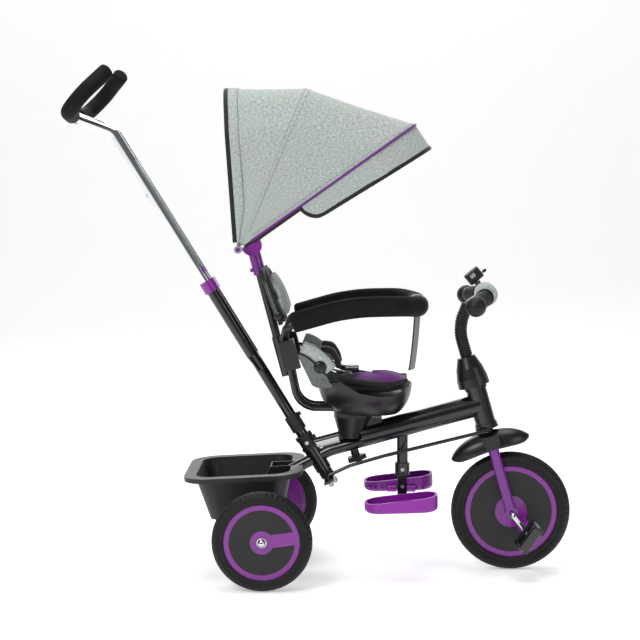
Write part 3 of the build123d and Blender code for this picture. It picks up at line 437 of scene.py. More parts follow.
def pillow(name: str, place: Matrix, half: tuple[float, float], thickness: float, finish: bpy.types.Material,
           corner: float = 4.0, crown: float = 0.55, steps: int = 26) -> bpy.types.Object:
    """Make a crowned closed cushion form in its own plane.

    Args:
        name: The piece's name.
        place: From the cushion's own axes, with its thickness along Z, to the frame, in millimetres.
        half: Half its size along its own X and Y.
        thickness: Thickness at the middle.
        finish: Its material.
        corner: Outline's squareness, 2 for an ellipse and more for a squarer one.
        crown: How quickly the thickness falls away to the edge seam.
        steps: Rings between the middle and the seam.

    Returns:
        The new object.
    """
    spokes = 72
    verts: list[Vector] = []
    for face in (1, -1):
        verts.append(place @ Vector((0, 0, face * thickness / 2)))
        for ring in range(1, steps + 1):
            share = ring / steps
            for k in range(spokes):
                turn = 2 * math.pi * k / spokes
                c, s = math.cos(turn), math.sin(turn)
                x = math.copysign(abs(c) ** (2 / corner), c) * half[0] * share
                y = math.copysign(abs(s) ** (2 / corner), s) * half[1] * share
                rise = thickness / 2 * max(0.0, 1 - share**3) ** crown
                verts.append(place @ Vector((x, y, face * max(rise, 0.4))))
    faces: list[tuple[int, ...]] = []
    size = 1 + steps * spokes
    for face, base in ((1, 0), (-1, size)):
        for k in range(spokes):
            tri = (base, base + 1 + k, base + 1 + (k + 1) % spokes)
            faces.append(tri if face == 1 else tri[::-1])
            for ring in range(steps - 1):
                a = base + 1 + ring * spokes + k
                b = base + 1 + ring * spokes + (k + 1) % spokes
                quad = (a, a + spokes, b + spokes, b)
                faces.append(quad if face == 1 else quad[::-1])
    rim = 1 + (steps - 1) * spokes
    for k in range(spokes):
        a, b = rim + k, rim + (k + 1) % spokes
        faces.append((a, size + a, size + b, b))
    return make_piece(name, verts, faces, finish)


def inflate(piece: bpy.types.Object, voxel: float, pressure: float, cap: float) -> None:
    """Puff a closed cushion form as stitched cloth under air pressure, then keep the shape.

    Args:
        piece: The cushion, a closed mesh a little smaller than the finished pad.
        voxel: Edge length of the even mesh that is simulated, in metres.
        pressure: The cloth's pressure.
        cap: The furthest that a point may move, in metres.
    """
    remesh = piece.modifiers.new("even", "REMESH")
    remesh.mode = "VOXEL"
    remesh.voxel_size = voxel
    remesh.use_smooth_shade = True
    bake(piece)
    before = [v.co.copy() for v in piece.data.vertices]
    cloth = piece.modifiers.new("puff", "CLOTH")
    cloth.settings.use_pressure = True
    cloth.settings.uniform_pressure_force = pressure
    cloth.settings.tension_stiffness = 12
    cloth.settings.shear_stiffness = 6
    cloth.settings.bending_stiffness = 0.4
    cloth.settings.effector_weights.gravity = 0
    cloth.point_cache.frame_start = 1
    cloth.point_cache.frame_end = 20
    for step in range(1, 21):
        bpy.context.scene.frame_set(step)
    bake(piece)
    bpy.context.scene.frame_set(1)
    for vertex, start in zip(piece.data.vertices, before):
        move = vertex.co - start
        if move.length > cap:
            vertex.co = start + move.normalized() * cap
    finer = piece.modifiers.new("finer", "SUBSURF")
    finer.levels = 1
    finer.render_levels = 1
    bake(piece)
    piece.data.polygons.foreach_set("use_smooth", [True] * len(piece.data.polygons))


def bake(piece: bpy.types.Object) -> None:
    """Apply every modifier on a piece by swapping in its evaluated mesh."""
    finishes = list(piece.data.materials)
    graph = bpy.context.evaluated_depsgraph_get()
    graph.update()
    mesh = bpy.data.meshes.new_from_object(piece.evaluated_get(graph))
    piece.modifiers.clear()
    piece.data = mesh
    mesh.materials.clear()
    for finish in finishes:
        mesh.materials.append(finish)


def fit_out(piece: bpy.types.Object, body: str, slot: str, *replaced: str) -> bpy.types.Object:
    """Make a piece ride on a body and stand for engineered parts.

    Args:
        piece: The finished object.
        body: The moving body that it rides on.
        slot: The material slot that it takes its finish from; not used.
        *replaced: Names of the parts that it stands for.

    Returns:
        The same object.
    """
    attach(piece, body)
    if replaced:
        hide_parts(*replaced)
    LOG.info("%s rides on %s, %d points", piece.name, body, len(piece.data.vertices))
    return piece


# ---- finishes --------------------------------------------------------------------------------
@dataclass(frozen=True)
class BakedEnamel:
    """Epoxy-polyester powder coat baked on steel: a glossy skin with a faint orange peel and rubbed edges."""

    name: str
    colour: str
    worn: str
    roughness: float = 0.24
    peel_mm: float = 5.0

    def build(self) -> bpy.types.Material:
        """Return the material."""
        material, tree = start_material(self.name)
        where = add_node(tree, "ShaderNodeTexCoord").outputs["Object"]
        # Real peel is about 1 mm across, too fine to show here, so it is drawn coarser.
        peel = add_node(tree, "ShaderNodeTexNoise", {"Vector": where, "Scale": 1000 / self.peel_mm,
                                                     "Detail": 2.0})
        drift = add_node(tree, "ShaderNodeTexNoise", {"Vector": where, "Scale": 14.0, "Detail": 3.0})
        gloss = add_node(tree, "ShaderNodeMapRange", {0: drift.outputs[0], 3: self.roughness - 0.05,
                                                      4: self.roughness + 0.09})
        edge = add_node(tree, "ShaderNodeNewGeometry").outputs["Pointiness"]
        rub = add_node(tree, "ShaderNodeMapRange", {0: edge, 1: 0.53, 2: 0.66, 3: 0.0, 4: 0.5})
        tone = mix_colours(tree, drift.outputs[0], linear(self.colour), linear(self.worn))
        skin = mix_colours(tree, rub.outputs[0], tone, linear(self.worn))
        bump = add_node(tree, "ShaderNodeBump",
                        {"Strength": 0.06, "Distance": 0.0006, "Height": peel.outputs[0]})
        shade(tree, {"Base Color": skin, "Roughness": gloss.outputs[0], "IOR": 1.5, "Coat Weight": 0.35,
                     "Coat Roughness": 0.12, "Normal": bump.outputs[0]})
        return material


@dataclass(frozen=True)
class PlatedSteel:
    """Electroplated steel: chrome drawn bright with hairlines, or zinc with a duller, cloudier skin."""

    name: str
    colour: str
    roughness: float
    hairline_mm: float = 3.0

    def build(self) -> bpy.types.Material:
        """Return the material."""
        material, tree = start_material(self.name)
        where = add_node(tree, "ShaderNodeTexCoord").outputs["Object"]
        # Polishing hairlines are about 0.1 mm apart and are drawn coarser so that they show.
        stretched = add_node(tree, "ShaderNodeMapping", {"Vector": where, "Scale": (1.0, 1.0, 0.12)})
        hair = add_node(tree, "ShaderNodeTexNoise", {"Vector": stretched.outputs[0],
                                                     "Scale": 1000 / self.hairline_mm, "Detail": 2.0})
        cloud = add_node(tree, "ShaderNodeTexNoise", {"Vector": where, "Scale": 30.0, "Detail": 4.0})
        gloss = add_node(tree, "ShaderNodeMapRange", {0: cloud.outputs[0], 3: self.roughness * 0.7,
                                                      4: self.roughness * 1.5})
        tone = mix_colours(tree, cloud.outputs[0], linear(self.colour), linear("#C9CCD0"))
        bump = add_node(tree, "ShaderNodeBump",
                        {"Strength": 0.03, "Distance": 0.0003, "Height": hair.outputs[0]})
        shade(tree, {"Base Color": tone, "Metallic": 1.0, "Roughness": gloss.outputs[0],
                     "Normal": bump.outputs[0]})
        return material


@dataclass(frozen=True)
class MouldedPlastic:
    """Injection-moulded ABS or polypropylene: a fine spark-eroded grain, slight sink, paler rubbed edges."""

    name: str
    colour: str
    rubbed: str
    roughness: float
    grain_mm: float = 2.2
    grain_depth: float = 0.25
    coat: float = 0.0
    sink: float = 0.10

    def build(self) -> bpy.types.Material:
        """Return the material."""
        material, tree = start_material(self.name)
        where = add_node(tree, "ShaderNodeTexCoord").outputs["Object"]
        # A moulded grain is about 0.5 mm across and is drawn coarser so that it shows.
        grain = add_node(tree, "ShaderNodeTexVoronoi", {"Vector": where, "Scale": 1000 / self.grain_mm})
        wave = add_node(tree, "ShaderNodeTexNoise", {"Vector": where, "Scale": 22.0, "Detail": 3.0})
        edge = add_node(tree, "ShaderNodeNewGeometry").outputs["Pointiness"]
        rub = add_node(tree, "ShaderNodeMapRange", {0: edge, 1: 0.52, 2: 0.64, 3: 0.0, 4: 0.6})
        tone = mix_colours(tree, wave.outputs[0], linear(self.colour), linear(self.rubbed))
        skin = mix_colours(tree, rub.outputs[0], tone, linear(self.rubbed))
        gloss = add_node(tree, "ShaderNodeMapRange", {0: wave.outputs[0], 3: self.roughness - 0.05,
                                                      4: self.roughness + 0.08})
        fine = add_node(tree, "ShaderNodeBump", {"Strength": self.grain_depth, "Distance": 0.0004,
                                                 "Height": grain.outputs["Distance"]})
        broad = add_node(tree, "ShaderNodeBump",
                         {"Strength": self.sink, "Distance": 0.002, "Height": wave.outputs[0],
                                                  "Normal": fine.outputs[0]})
        shade(tree, {"Base Color": skin, "Roughness": gloss.outputs[0], "IOR": 1.53, "Coat Weight": self.coat,
                     "Coat Roughness": 0.1, "Normal": broad.outputs[0]})
        return material


@dataclass(frozen=True)
class CellRubber:
    """Blown EVA or NBR foam, or solid rubber: a dull skin of small closed cells with a trace of dust."""

    name: str
    colour: str
    dusty: str
    roughness: float = 0.72
    cell_mm: float = 2.4
    depth: float = 0.35
    sheen: float = 0.12
    specular: float = 0.4

    def build(self) -> bpy.types.Material:
        """Return the material."""
        material, tree = start_material(self.name)
        where = add_node(tree, "ShaderNodeTexCoord").outputs["Object"]
        # Closed cells are about 0.3 mm across and are drawn coarser so that they show.
        cells = add_node(tree, "ShaderNodeTexNoise", {"Vector": where, "Scale": 1000 / self.cell_mm,
                                                      "Detail": 5.0, "Roughness": 0.65})
        dust = add_node(tree, "ShaderNodeTexNoise", {"Vector": where, "Scale": 35.0, "Detail": 6.0})
        lay = add_node(tree, "ShaderNodeMapRange", {0: dust.outputs[0], 1: 0.35, 2: 0.75, 3: 0.0, 4: 1.0})
        tone = mix_colours(tree, lay.outputs[0], linear(self.colour), linear(self.dusty))
        gloss = add_node(tree, "ShaderNodeMapRange", {0: cells.outputs[0], 3: self.roughness - 0.08,
                                                      4: self.roughness + 0.12})
        bump = add_node(tree, "ShaderNodeBump", {"Strength": self.depth, "Distance": 0.0005,
                                                 "Height": cells.outputs[0]})
        shade(tree, {"Base Color": tone, "Roughness": gloss.outputs[0], "IOR": 1.5,
                     "Sheen Weight": self.sheen, "Specular IOR Level": self.specular, "Sheen Roughness": 0.5,
                     "Normal": bump.outputs[0]})
        return material


@dataclass(frozen=True)
class MelangeCanvas:
    """Woven polyester from mixed pale and dark yarns: flecked, with slubs that run both ways."""

    name: str
    pale: str
    dark: str
    along: Coordinates
    yarn_mm: float = 2.6
    slub_mm: float = 22.0
    roughness: float = 0.88

    def build(self) -> bpy.types.Material:
        """Return the material."""
        material, tree = start_material(self.name)
        where = add_node(tree, "ShaderNodeTexCoord").outputs[self.along.value]
        # Real yarns are about 0.6 mm apart. They are drawn coarser so that the flecks show.
        thin, long = 1000 / self.yarn_mm, 1000 / self.slub_mm
        warp_at = add_node(tree, "ShaderNodeMapping", {"Vector": where, "Scale": (long, thin, thin)})
        weft_at = add_node(tree, "ShaderNodeMapping", {"Vector": where, "Scale": (thin, thin, long)})
        if self.along is Coordinates.SEWN:
            weft_at.inputs["Scale"].default_value = (thin, long, long)
        warp = add_node(tree, "ShaderNodeTexNoise",
                        {"Vector": warp_at.outputs[0], "Scale": 1.0, "Detail": 2.0})
        weft = add_node(tree, "ShaderNodeTexNoise",
                        {"Vector": weft_at.outputs[0], "Scale": 1.0, "Detail": 2.0})
        cross = add_node(tree, "ShaderNodeMath", {0: warp.outputs[0], 1: weft.outputs[0]}, operation="ADD")
        fleck = add_node(tree, "ShaderNodeMapRange", {0: cross.outputs[0], 1: 0.78, 2: 1.22, 3: 0.0, 4: 1.0})
        fade = add_node(tree, "ShaderNodeTexNoise", {"Vector": where, "Scale": 9.0, "Detail": 3.0})
        flecked = mix_colours(tree, fleck.outputs[0], linear(self.dark), linear(self.pale))
        softened = mix_colours(tree, 0.10, flecked, fade.outputs[1], "SOFT_LIGHT")
        bump = add_node(tree, "ShaderNodeBump",
                        {"Strength": 0.45, "Distance": 0.0007, "Height": cross.outputs[0]})
        shade(tree, {"Base Color": softened, "Roughness": self.roughness, "IOR": 1.46, "Sheen Weight": 0.2,
                     "Sheen Roughness": 0.4, "Normal": bump.outputs[0]})
        return material


@dataclass(frozen=True)
class RibbedTape:
    """Narrow-woven polypropylene webbing or bias binding: close ribs across its length, dull and dark."""

    name: str
    colour: str
    lit: str
    rib_mm: float = 2.4
    roughness: float = 0.7

    def build(self) -> bpy.types.Material:
        """Return the material."""
        material, tree = start_material(self.name)
        where = add_node(tree, "ShaderNodeTexCoord").outputs["Object"]
        # Webbing ribs are about 1 mm apart and are drawn coarser so that they show.
        rib = add_node(tree, "ShaderNodeTexWave", {"Vector": where, "Scale": 314 / self.rib_mm,
                                                   "Distortion": 0.6, "Detail": 1.0}, wave_type="BANDS",
                       bands_direction="DIAGONAL")
        fuzz = add_node(tree, "ShaderNodeTexNoise", {"Vector": where, "Scale": 600.0, "Detail": 3.0})
        both = add_node(tree, "ShaderNodeMath", {0: rib.outputs["Fac"], 1: fuzz.outputs[0]},
                        operation="MULTIPLY")
        tone = mix_colours(tree, both.outputs[0], linear(self.colour), linear(self.lit))
        bump = add_node(tree, "ShaderNodeBump",
                        {"Strength": 0.5, "Distance": 0.0006, "Height": both.outputs[0]})
        shade(tree, {"Base Color": tone, "Roughness": self.roughness, "IOR": 1.49, "Sheen Weight": 0.25,
                     "Sheen Roughness": 0.4, "Normal": bump.outputs[0]})
        return material


@dataclass(frozen=True)
class SpacerMesh:
    """Knitted spacer mesh: a grey net of small holes over a dark backing."""

    name: str
    net: str
    hole: str
    hole_mm: float = 4.0

    def build(self) -> bpy.types.Material:
        """Return the material."""
        material, tree = start_material(self.name)
        where = add_node(tree, "ShaderNodeTexCoord").outputs["Object"]
        # The holes are about 2 mm apart and are drawn coarser so that they show.
        cell = add_node(tree, "ShaderNodeTexVoronoi", {"Vector": where, "Scale": 1000 / self.hole_mm,
                                                       "Randomness": 0.35})
        deep = add_node(tree, "ShaderNodeMapRange", {0: cell.outputs["Distance"], 1: 0.18, 2: 0.42, 3: 0.0,
                                                     4: 1.0})
        tone = mix_colours(tree, deep.outputs[0], linear(self.hole), linear(self.net))
        bump = add_node(tree, "ShaderNodeBump",
                        {"Strength": 0.6, "Distance": 0.001, "Height": deep.outputs[0]})
        shade(tree, {"Base Color": tone, "Roughness": 0.85, "IOR": 1.46, "Sheen Weight": 0.2,
                     "Sheen Roughness": 0.4, "Normal": bump.outputs[0]})
        return material


@dataclass(frozen=True)
class Vinyl:
    """A blank printed vinyl sticker, calendered smooth with a faint emboss and a soft shine."""

    name: str
    colour: str
    tint: str
    roughness: float = 0.35

    def build(self) -> bpy.types.Material:
        """Return the material."""
        material, tree = start_material(self.name)
        where = add_node(tree, "ShaderNodeTexCoord").outputs["Object"]
        haze = add_node(tree, "ShaderNodeTexNoise", {"Vector": where, "Scale": 120.0, "Detail": 3.0})
        tone = mix_colours(tree, haze.outputs[0], linear(self.colour), linear(self.tint))
        bump = add_node(tree, "ShaderNodeBump",
                        {"Strength": 0.05, "Distance": 0.0003, "Height": haze.outputs[0]})
        shade(tree, {"Base Color": tone, "Roughness": self.roughness, "IOR": 1.54, "Normal": bump.outputs[0]})
        return material


@dataclass
class FinishBook:
    """Every finish on the tricycle, built once."""

    black_enamel: bpy.types.Material = field(init=False)
    purple_enamel: bpy.types.Material = field(init=False)
    chrome: bpy.types.Material = field(init=False)
    zinc: bpy.types.Material = field(init=False)
    grained_black: bpy.types.Material = field(init=False)
    satin_black: bpy.types.Material = field(init=False)
    gloss_black: bpy.types.Material = field(init=False)
    purple_abs: bpy.types.Material = field(init=False)
    footrest_purple: bpy.types.Material = field(init=False)
    tyre_rubber: bpy.types.Material = field(init=False)
    grip_rubber: bpy.types.Material = field(init=False)
    foam: bpy.types.Material = field(init=False)
    canopy_cloth: bpy.types.Material = field(init=False)
    seat_cloth: bpy.types.Material = field(init=False)
    strap_grey: bpy.types.Material = field(init=False)
    purple_cloth: bpy.types.Material = field(init=False)
    mesh_cloth: bpy.types.Material = field(init=False)
    mesh_and_painted_shade: bpy.types.Material = field(init=False)
    binding: bpy.types.Material = field(init=False)
    purple_piping: bpy.types.Material = field(init=False)
    thread: bpy.types.Material = field(init=False)
    label: bpy.types.Material = field(init=False)
    window: bpy.types.Material = field(init=False)

    def __post_init__(self) -> None:
        """Build each finish."""
        self.black_enamel = BakedEnamel("black_powder_coat", "#060607", "#0F0F11").build()
        self.purple_enamel = BakedEnamel("purple_powder_coat", "#5E0876", "#78168E", 0.18).build()
        self.chrome = PlatedSteel("chrome_plate", "#E4E6E8", 0.09).build()
        self.zinc = PlatedSteel("bright_zinc_plate", "#B9BCC0", 0.3).build()
        self.grained_black = MouldedPlastic("grained_black_polypropylene", "#060607", "#101012", 0.5).build()
        self.satin_black = MouldedPlastic("satin_black_polypropylene", "#050506", "#0E0E10", 0.34, 1.8,
                                          0.12).build()
        self.gloss_black = MouldedPlastic("gloss_black_abs", "#08080A", "#151518", 0.18, 1.5, 0.04,
                                          0.3).build()
        self.purple_abs = MouldedPlastic("purple_abs", "#68087C", "#80188E", 0.26, 1.6, 0.05, 0.3).build()
        self.footrest_purple = MouldedPlastic("grained_purple_abs", "#7A0C8C", "#961EA8", 0.36, 2.6,
                                              0.3).build()
        self.tyre_rubber = CellRubber("moulded_tyre_rubber", "#060607", "#0F0F10", 0.62, 3.0, 0.25,
                                      0.0).build()
        self.grip_rubber = CellRubber("grip_rubber", "#070708", "#111113", 0.5, 2.4, 0.2, 0.0).build()
        self.foam = CellRubber("blown_foam", "#070708", "#111113", 0.78, 2.4, 0.4, 0.0, 0.25).build()
        self.canopy_cloth = MelangeCanvas("melange_canvas", "#BCC3C0", "#8B9390", Coordinates.SEWN, 1.7,
                                          6.0).build()
        self.seat_cloth = MelangeCanvas("melange_seat_cloth", "#BEC5C2", "#8D9592", Coordinates.FRAME, 1.7,
                                        6.0).build()
        self.strap_grey = RibbedTape("grey_webbing", "#7E8381", "#A6ACAA").build()
        self.purple_cloth = MelangeCanvas("purple_seat_cloth", "#7E1A9A", "#580A6C", Coordinates.FRAME, 1.8,
                                          8.0).build()
        self.mesh_cloth = SpacerMesh("grey_spacer_mesh", "#6E7271", "#34373A").build()
        # Charcoal mesh for the seat pad: the liner's own dark mesh at the rear, and painted shade along the
        # pad's sides where the shell rim shades them.
        self.mesh_and_painted_shade = SpacerMesh("charcoal_mesh_and_painted_shade", "#232427", "#0C0C0E").build()
        self.binding = RibbedTape("black_binding", "#060607", "#121214").build()
        self.purple_piping = RibbedTape("purple_piping", "#5A0870", "#78188E").build()
        self.thread = RibbedTape("grey_thread", "#7F8684", "#A4ABA9", 1.2).build()
        self.label = Vinyl("blank_vinyl_label", "#E4E4E2", "#D8D8D6").build()
        self.window = Vinyl("grey_window_film", "#A9ACAE", "#8F9294", 0.2).build()

    def dress_parts(self) -> None:
        """Give every engineered part its finish in its own material slots."""
        by_slot = {
            "black_steel": self.black_enamel, "purple_steel": self.purple_enamel, "bright_steel": self.zinc,
            "chrome": self.chrome, "black_plastic": self.grained_black, "gloss_black": self.gloss_black,
            "purple_plastic": self.purple_abs, "tyre": self.tyre_rubber, "black_rubber": self.grip_rubber,
            "black_foam": self.foam, "grey_fabric": self.seat_cloth, "black_webbing": self.binding,
        }
        by_part = {
            "footrest_left": self.footrest_purple, "footrest_right": self.footrest_purple,
            "seat_shell": self.satin_black, "fork_crown": self.satin_black, "headset_cover": self.satin_black,
            "mudguard": self.grained_black, "seat_pedestal": self.satin_black,
        }
        for name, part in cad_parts.items():
            for place in part.material_slots:
                given = place.material.name.split(".")[0] if place.material else "black_plastic"
                place.material = by_part.get(name, by_slot.get(given, self.grained_black))
        LOG.info("%d engineered parts dressed", len(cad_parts))


# ---- the canopy ------------------------------------------------------------------------------
@dataclass(frozen=True)
class Hoop:
    """One canopy hoop: how far it reaches from the pivot and at what angle above forward."""

    reach: float
    angle: float
    body: str


@dataclass
class Canopy:
    """The folding sun canopy: two panels over three hoops, the brim, its piping and its bindings."""

    finishes: FinishBook
    pivot_x: float = -162.0
    pivot_z: float = 694.0
    rear: Hoop = Hoop(325.0, 94.0, "seat")
    middle: Hoop = Hoop(352.0, 67.2, "canopy_mid")
    front: Hoop = Hoop(437.0, 35.2, "canopy_front")
    half_width: float = 168.4
    proud: float = 1.6
    corner: float = 44.0
    shoulder: float = 90.0
    bend: float = 60.0
    start: float = 15.0
    cloth: float = 1.3
    brim_drop: float = 56.0
    brim_rear_drop: float = 38.0
    brim_back: float = 152.0
    brim_curve: float = 30.0
    columns: int = 132
    stitch: float = 5.5
    stitch_gap: float = 3.0
    thread_radius: float = 0.55
    pocket_depth: float = 19.0

    def outline(self, hoop: Hoop, out: float = 0.0) -> list[Vector]:
        """The cloth's line over one hoop, in that hoop's plane.

        Args:
            hoop: The hoop.
            out: How much further out than the cloth.

        Returns:
            Points of (across, away from the pivot, 0).
        """
        half, reach = self.half_width + out, hoop.reach + self.proud + out
        crown, bend_at = half - self.corner, reach - self.shoulder
        corners = [(-half, self.start, 0), (-half, bend_at, 0), (-crown, reach, 0),
                   (crown, reach, 0), (half, bend_at, 0), (half, self.start, 0)]
        return round_corners(corners, [self.bend] * 4, 3.0)

    def lift(self, hoop: Hoop, flat: Vector, ahead: float = 0.0) -> Vector:
        """Turn a point in a hoop's plane into the frame.

        Args:
            hoop: The hoop.
            flat: (across, away, 0).
            ahead: Distance forward of the plane, square to it.

        Returns:
            The point in millimetres.
        """
        angle = math.radians(hoop.angle)
        x = self.pivot_x + flat.y * math.cos(angle) + ahead * math.sin(angle)
        z = self.pivot_z + flat.y * math.sin(angle) - ahead * math.cos(angle)
        return Vector((x, flat.x, z))

    def square_to(self, hoop: Hoop) -> Vector:
        """The direction square to a hoop's plane."""
        angle = math.radians(hoop.angle)
        return Vector((math.sin(angle), 0, -math.cos(angle)))

    def stations(self, hoop: Hoop, out: float = 0.0) -> list[Vector]:
        """Evenly spaced points of a hoop's line, one for each column of cloth."""
        line = self.outline(hoop, out)
        total = route_length(line)
        return walk(line, [total * i / self.columns for i in range(self.columns + 1)])

    def hoop_line(self, hoop: Hoop, out: float = 0.0, ahead: float = 0.0) -> list[Vector]:
        """A hoop's line in the frame, moved out and ahead by given distances."""
        return [self.lift(hoop, p, ahead) for p in self.stations(hoop, out)]

    def panel(self, name: str, back: Hoop, fore: Hoop, replaced: str) -> bpy.types.Object:
        """Make one panel of cloth between two hoops.

        Args:
            name: The piece's name.
            back: The hoop behind it.
            fore: The hoop in front of it.
            replaced: The engineered part that it stands for.

        Returns:
            The panel.
        """
        first, second = self.stations(back), self.stations(fore)
        rows = 30
        mean = 0.5 * sum((self.lift(back, a) - self.lift(fore, b)).length for a, b in zip(first, second)) \
            / len(first)

        def place(across: float, along: float) -> Vector:
            i = round(across * self.columns)
            point = self.lift(back, first[i]).lerp(self.lift(fore, second[i]), along)
            middle = self.lift(back, Vector((0, 150, 0))).lerp(self.lift(fore, Vector((0, 150, 0))), along)
            out = (point - middle).normalized()
            away = math.sin(math.pi * along)
            away_from_pivot = min(1.0, first[i].y / 160)
            soft = noise.noise(Vector((point.x * 0.012, point.y * 0.02, point.z * 0.016 + 7.0)))
            fine = noise.noise(Vector((point.x * 0.035 + 3.0, point.y * 0.03, point.z * 0.05)))
            fold = math.sin(across * 2 * math.pi * 5) * (1 - away_from_pivot) * 1.2
            near_hoop = min(along, 1 - along)
            ridge = 0.9 * math.exp(-(near_hoop / 0.035) ** 2)
            groove = 0.7 * math.exp(-((near_hoop - 0.075) / 0.018) ** 2)
            relief = away * (soft * 2.0 + fine * 0.8 - 2.2 + fold) + (ridge - groove) * away_from_pivot
            return point + out * relief

        length = sum((b - a).length for a, b in zip(first, first[1:]))
        size = (0.5 * (length + sum((b - a).length for a, b in zip(second, second[1:]))), 2 * mean)
        panel = cloth_grid(name, place, self.columns, rows, self.cloth, size, self.finishes.canopy_cloth)
        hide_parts(replaced)
        self.lift(back, Vector((0, 250, 0))) * MM
        self.lift(fore, Vector((0, 250, 0))) * MM
        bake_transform(panel)
        LOG.info("%s blends from %s to %s", name, back.body, fore.body)
        return panel

    def brim_depth(self, flat: Vector) -> float:
        """How deep the brim is beside a point of the front hoop, with a rounded rear corner."""
        past = flat.y - self.brim_back
        if past <= 0:
            return 0.0
        share = min(1.0, past / self.brim_curve)
        ahead = min(1.0, past / (self.front.reach - self.brim_back))
        full = self.brim_rear_drop + (self.brim_drop - self.brim_rear_drop) * ahead
        return full * math.sqrt(max(0.0, 1 - (1 - share) ** 2))

    def brim(self) -> bpy.types.Object:
        """Make the brim in front of the front hoop, with two small darts on each side."""
        line = self.stations(self.front)
        kept = [p for p in line if p.y >= self.brim_back - 1]
        count = len(kept) - 1
        darts = (0.20, 0.235, 0.765, 0.80)

        def place(across: float, along: float) -> Vector:
            flat = kept[round(across * count)]
            deep = self.brim_depth(flat) * along + 0.4
            point = self.lift(self.front, flat, deep)
            middle = self.lift(self.front, Vector((0, flat.y - 40, 0)), deep)
            out = (point - middle).normalized()
            pinch = sum(math.exp(-((across - d) / 0.006) ** 2) for d in darts) * (1 - along) * 1.8
            wave = noise.noise(Vector((point.x * 0.03, point.y * 0.03, point.z * 0.03))) * 1.6 * along
            curl = -1.5 * along**2
            return point + out * (wave + curl - pinch)

        length = sum((b - a).length for a, b in zip(kept, kept[1:]))
        size = (length, self.brim_drop)
        brim = cloth_grid("canopy_brim", place, count, 14, self.cloth, size, self.finishes.canopy_cloth)
        fit_out(brim, "canopy_front", "grey_fabric", "canopy_visor")
        edge = self.brim_edge(kept)
        binding = sweep("canopy_brim_binding", self.inward(edge, 1.2), (1.7, 4.2), self.finishes.binding, 12,
                        5.0, 1.5, up=self.square_to(self.front))
        fit_out(binding, "canopy_front", "black_webbing")
        return brim

    def brim_edge(self, kept: Sequence[Vector]) -> list[Vector]:
        """The brim's lower edge, with close points round its rear corners.

        Args:
            kept: The front hoop's points that carry the brim.

        Returns:
            Points in millimetres, from one end to the other.
        """
        half = self.half_width
        corner = [Vector((-half, self.brim_back + self.brim_curve * (1 - math.cos(math.pi / 2 * k / 9)), 0))
                  for k in range(9)]
        middle = [p for p in kept if p.y > self.brim_back + self.brim_curve]
        line = corner + middle + [Vector((half, p.y, 0)) for p in reversed(corner)]
        return [self.lift(self.front, p, self.brim_depth(p) + 0.6) for p in line]

    def inward(self, line: Sequence[Vector], by: float) -> list[Vector]:
        """Move a line over the canopy a little towards the middle plane and down."""
        moved = []
        for p in line:
            across = math.copysign(min(by, abs(p.y) * 0.02), p.y)
            moved.append(Vector((p.x, p.y - across, p.z)))
        return moved

    def piping(self) -> None:
        """Add the purple piping along the front hoop, the black bindings on the open edges, and black strips
        low on the front edges that are partly binding and partly painted shade of the cloth's underside.
        """
        welt = [self.lift(self.front, p, 1.0) for p in self.stations(self.front, 1.6) if p.y >= 26]
        fit_out(sweep("canopy_front_piping", welt, (2.3, 2.3), self.finishes.purple_piping, 12, 5.0, 2.0),
                "canopy_front", "purple_plastic")
        # Black strips below the brim: partly binding, partly painted shade of the canopy's underside.
        for side in (Side.LEFT, Side.RIGHT):
            half = [p for p in self.stations(self.front, 0.2) if p.x * side.value > 0]
            low = [p for p in half if p.y < self.brim_back + 4]
            edge = [self.lift(self.front, p, 5.6 if p.y > 40 else 3.0) for p in low]
            fit_out(sweep(f"canopy_lower_binding_{side.name.lower()}", edge, (3.6, 1.8),
                          self.finishes.binding, 12, 5.0, 1.5, up=Vector((0, 1, 0))), "canopy_front",
                    "black_webbing")
        self.pocket()
        tail = self.hoop_line(self.rear, 0.2, -4.6)
        fit_out(sweep("canopy_rear_binding", tail, (1.9, 4.6), self.finishes.binding, 12, 5.0, 1.5,
                      up=self.square_to(self.rear)), "seat", "black_webbing")

    def pocket(self) -> None:
        """Make the folded pocket of cloth that is sewn round the rear hoop."""
        first, second = self.stations(self.rear), self.stations(self.middle)

        def place(across: float, along: float) -> Vector:
            i = round(across * self.columns)
            a, b = self.lift(self.rear, first[i]), self.lift(self.middle, second[i])
            at = a + (b - a).normalized() * (self.pocket_depth * along * min(1.0, first[i].y / self.shoulder))
            middle = self.lift(self.rear, Vector((0, first[i].y * 0.7, 0)))
            fullness = 1.5 + 1.3 * math.sin(math.pi * min(1.0, along * 1.15)) ** 0.6
            return at + (at - middle).normalized() * fullness

        length = route_length(first)
        strip = cloth_grid("canopy_rear_pocket", place, self.columns, 8, 1.0, (length, self.pocket_depth),
                           self.finishes.canopy_cloth)
        fit_out(strip, "seat", "grey_fabric")

    def seams(self) -> None:
        """Add the rows of stitches beside each hoop."""
        gaps = (("rear", self.rear, 9.0), ("middle", self.middle, 7.0), ("front", self.front, 9.0))
        for name, hoop, gap in gaps:
            row = stitches(f"canopy_{name}_stitches", self.on_cloth(hoop, gap), self.stitch, self.stitch_gap,
                           self.thread_radius, self.finishes.thread)
            fit_out(row, hoop.body, "grey_fabric")

    def on_cloth(self, hoop: Hoop, gap: float) -> list[Vector]:
        """The line that lies on the cloth at a distance from a hoop."""
        other = {self.rear: self.middle, self.middle: self.front, self.front: self.middle}[hoop]
        first, second = self.stations(hoop), self.stations(other)
        line = []
        for p, q in zip(first, second):
            a, b = self.lift(hoop, p), self.lift(other, q)
            run = (b - a).length
            at = a.lerp(b, min(0.45, gap / max(run, 1e-6)))
            middle = self.lift(hoop, Vector((0, p.y * 0.6, 0)))
            if p.y > 40:
                line.append(at + (at - middle).normalized() * 0.75)
        return line

    def build(self) -> None:
        """Make the whole canopy."""
        self.panel("canopy_rear_cloth", self.rear, self.middle, "canopy_rear_panel")
        self.panel("canopy_front_cloth", self.middle, self.front, "canopy_front_panel")
        self.brim()
        self.piping()
        self.seams()


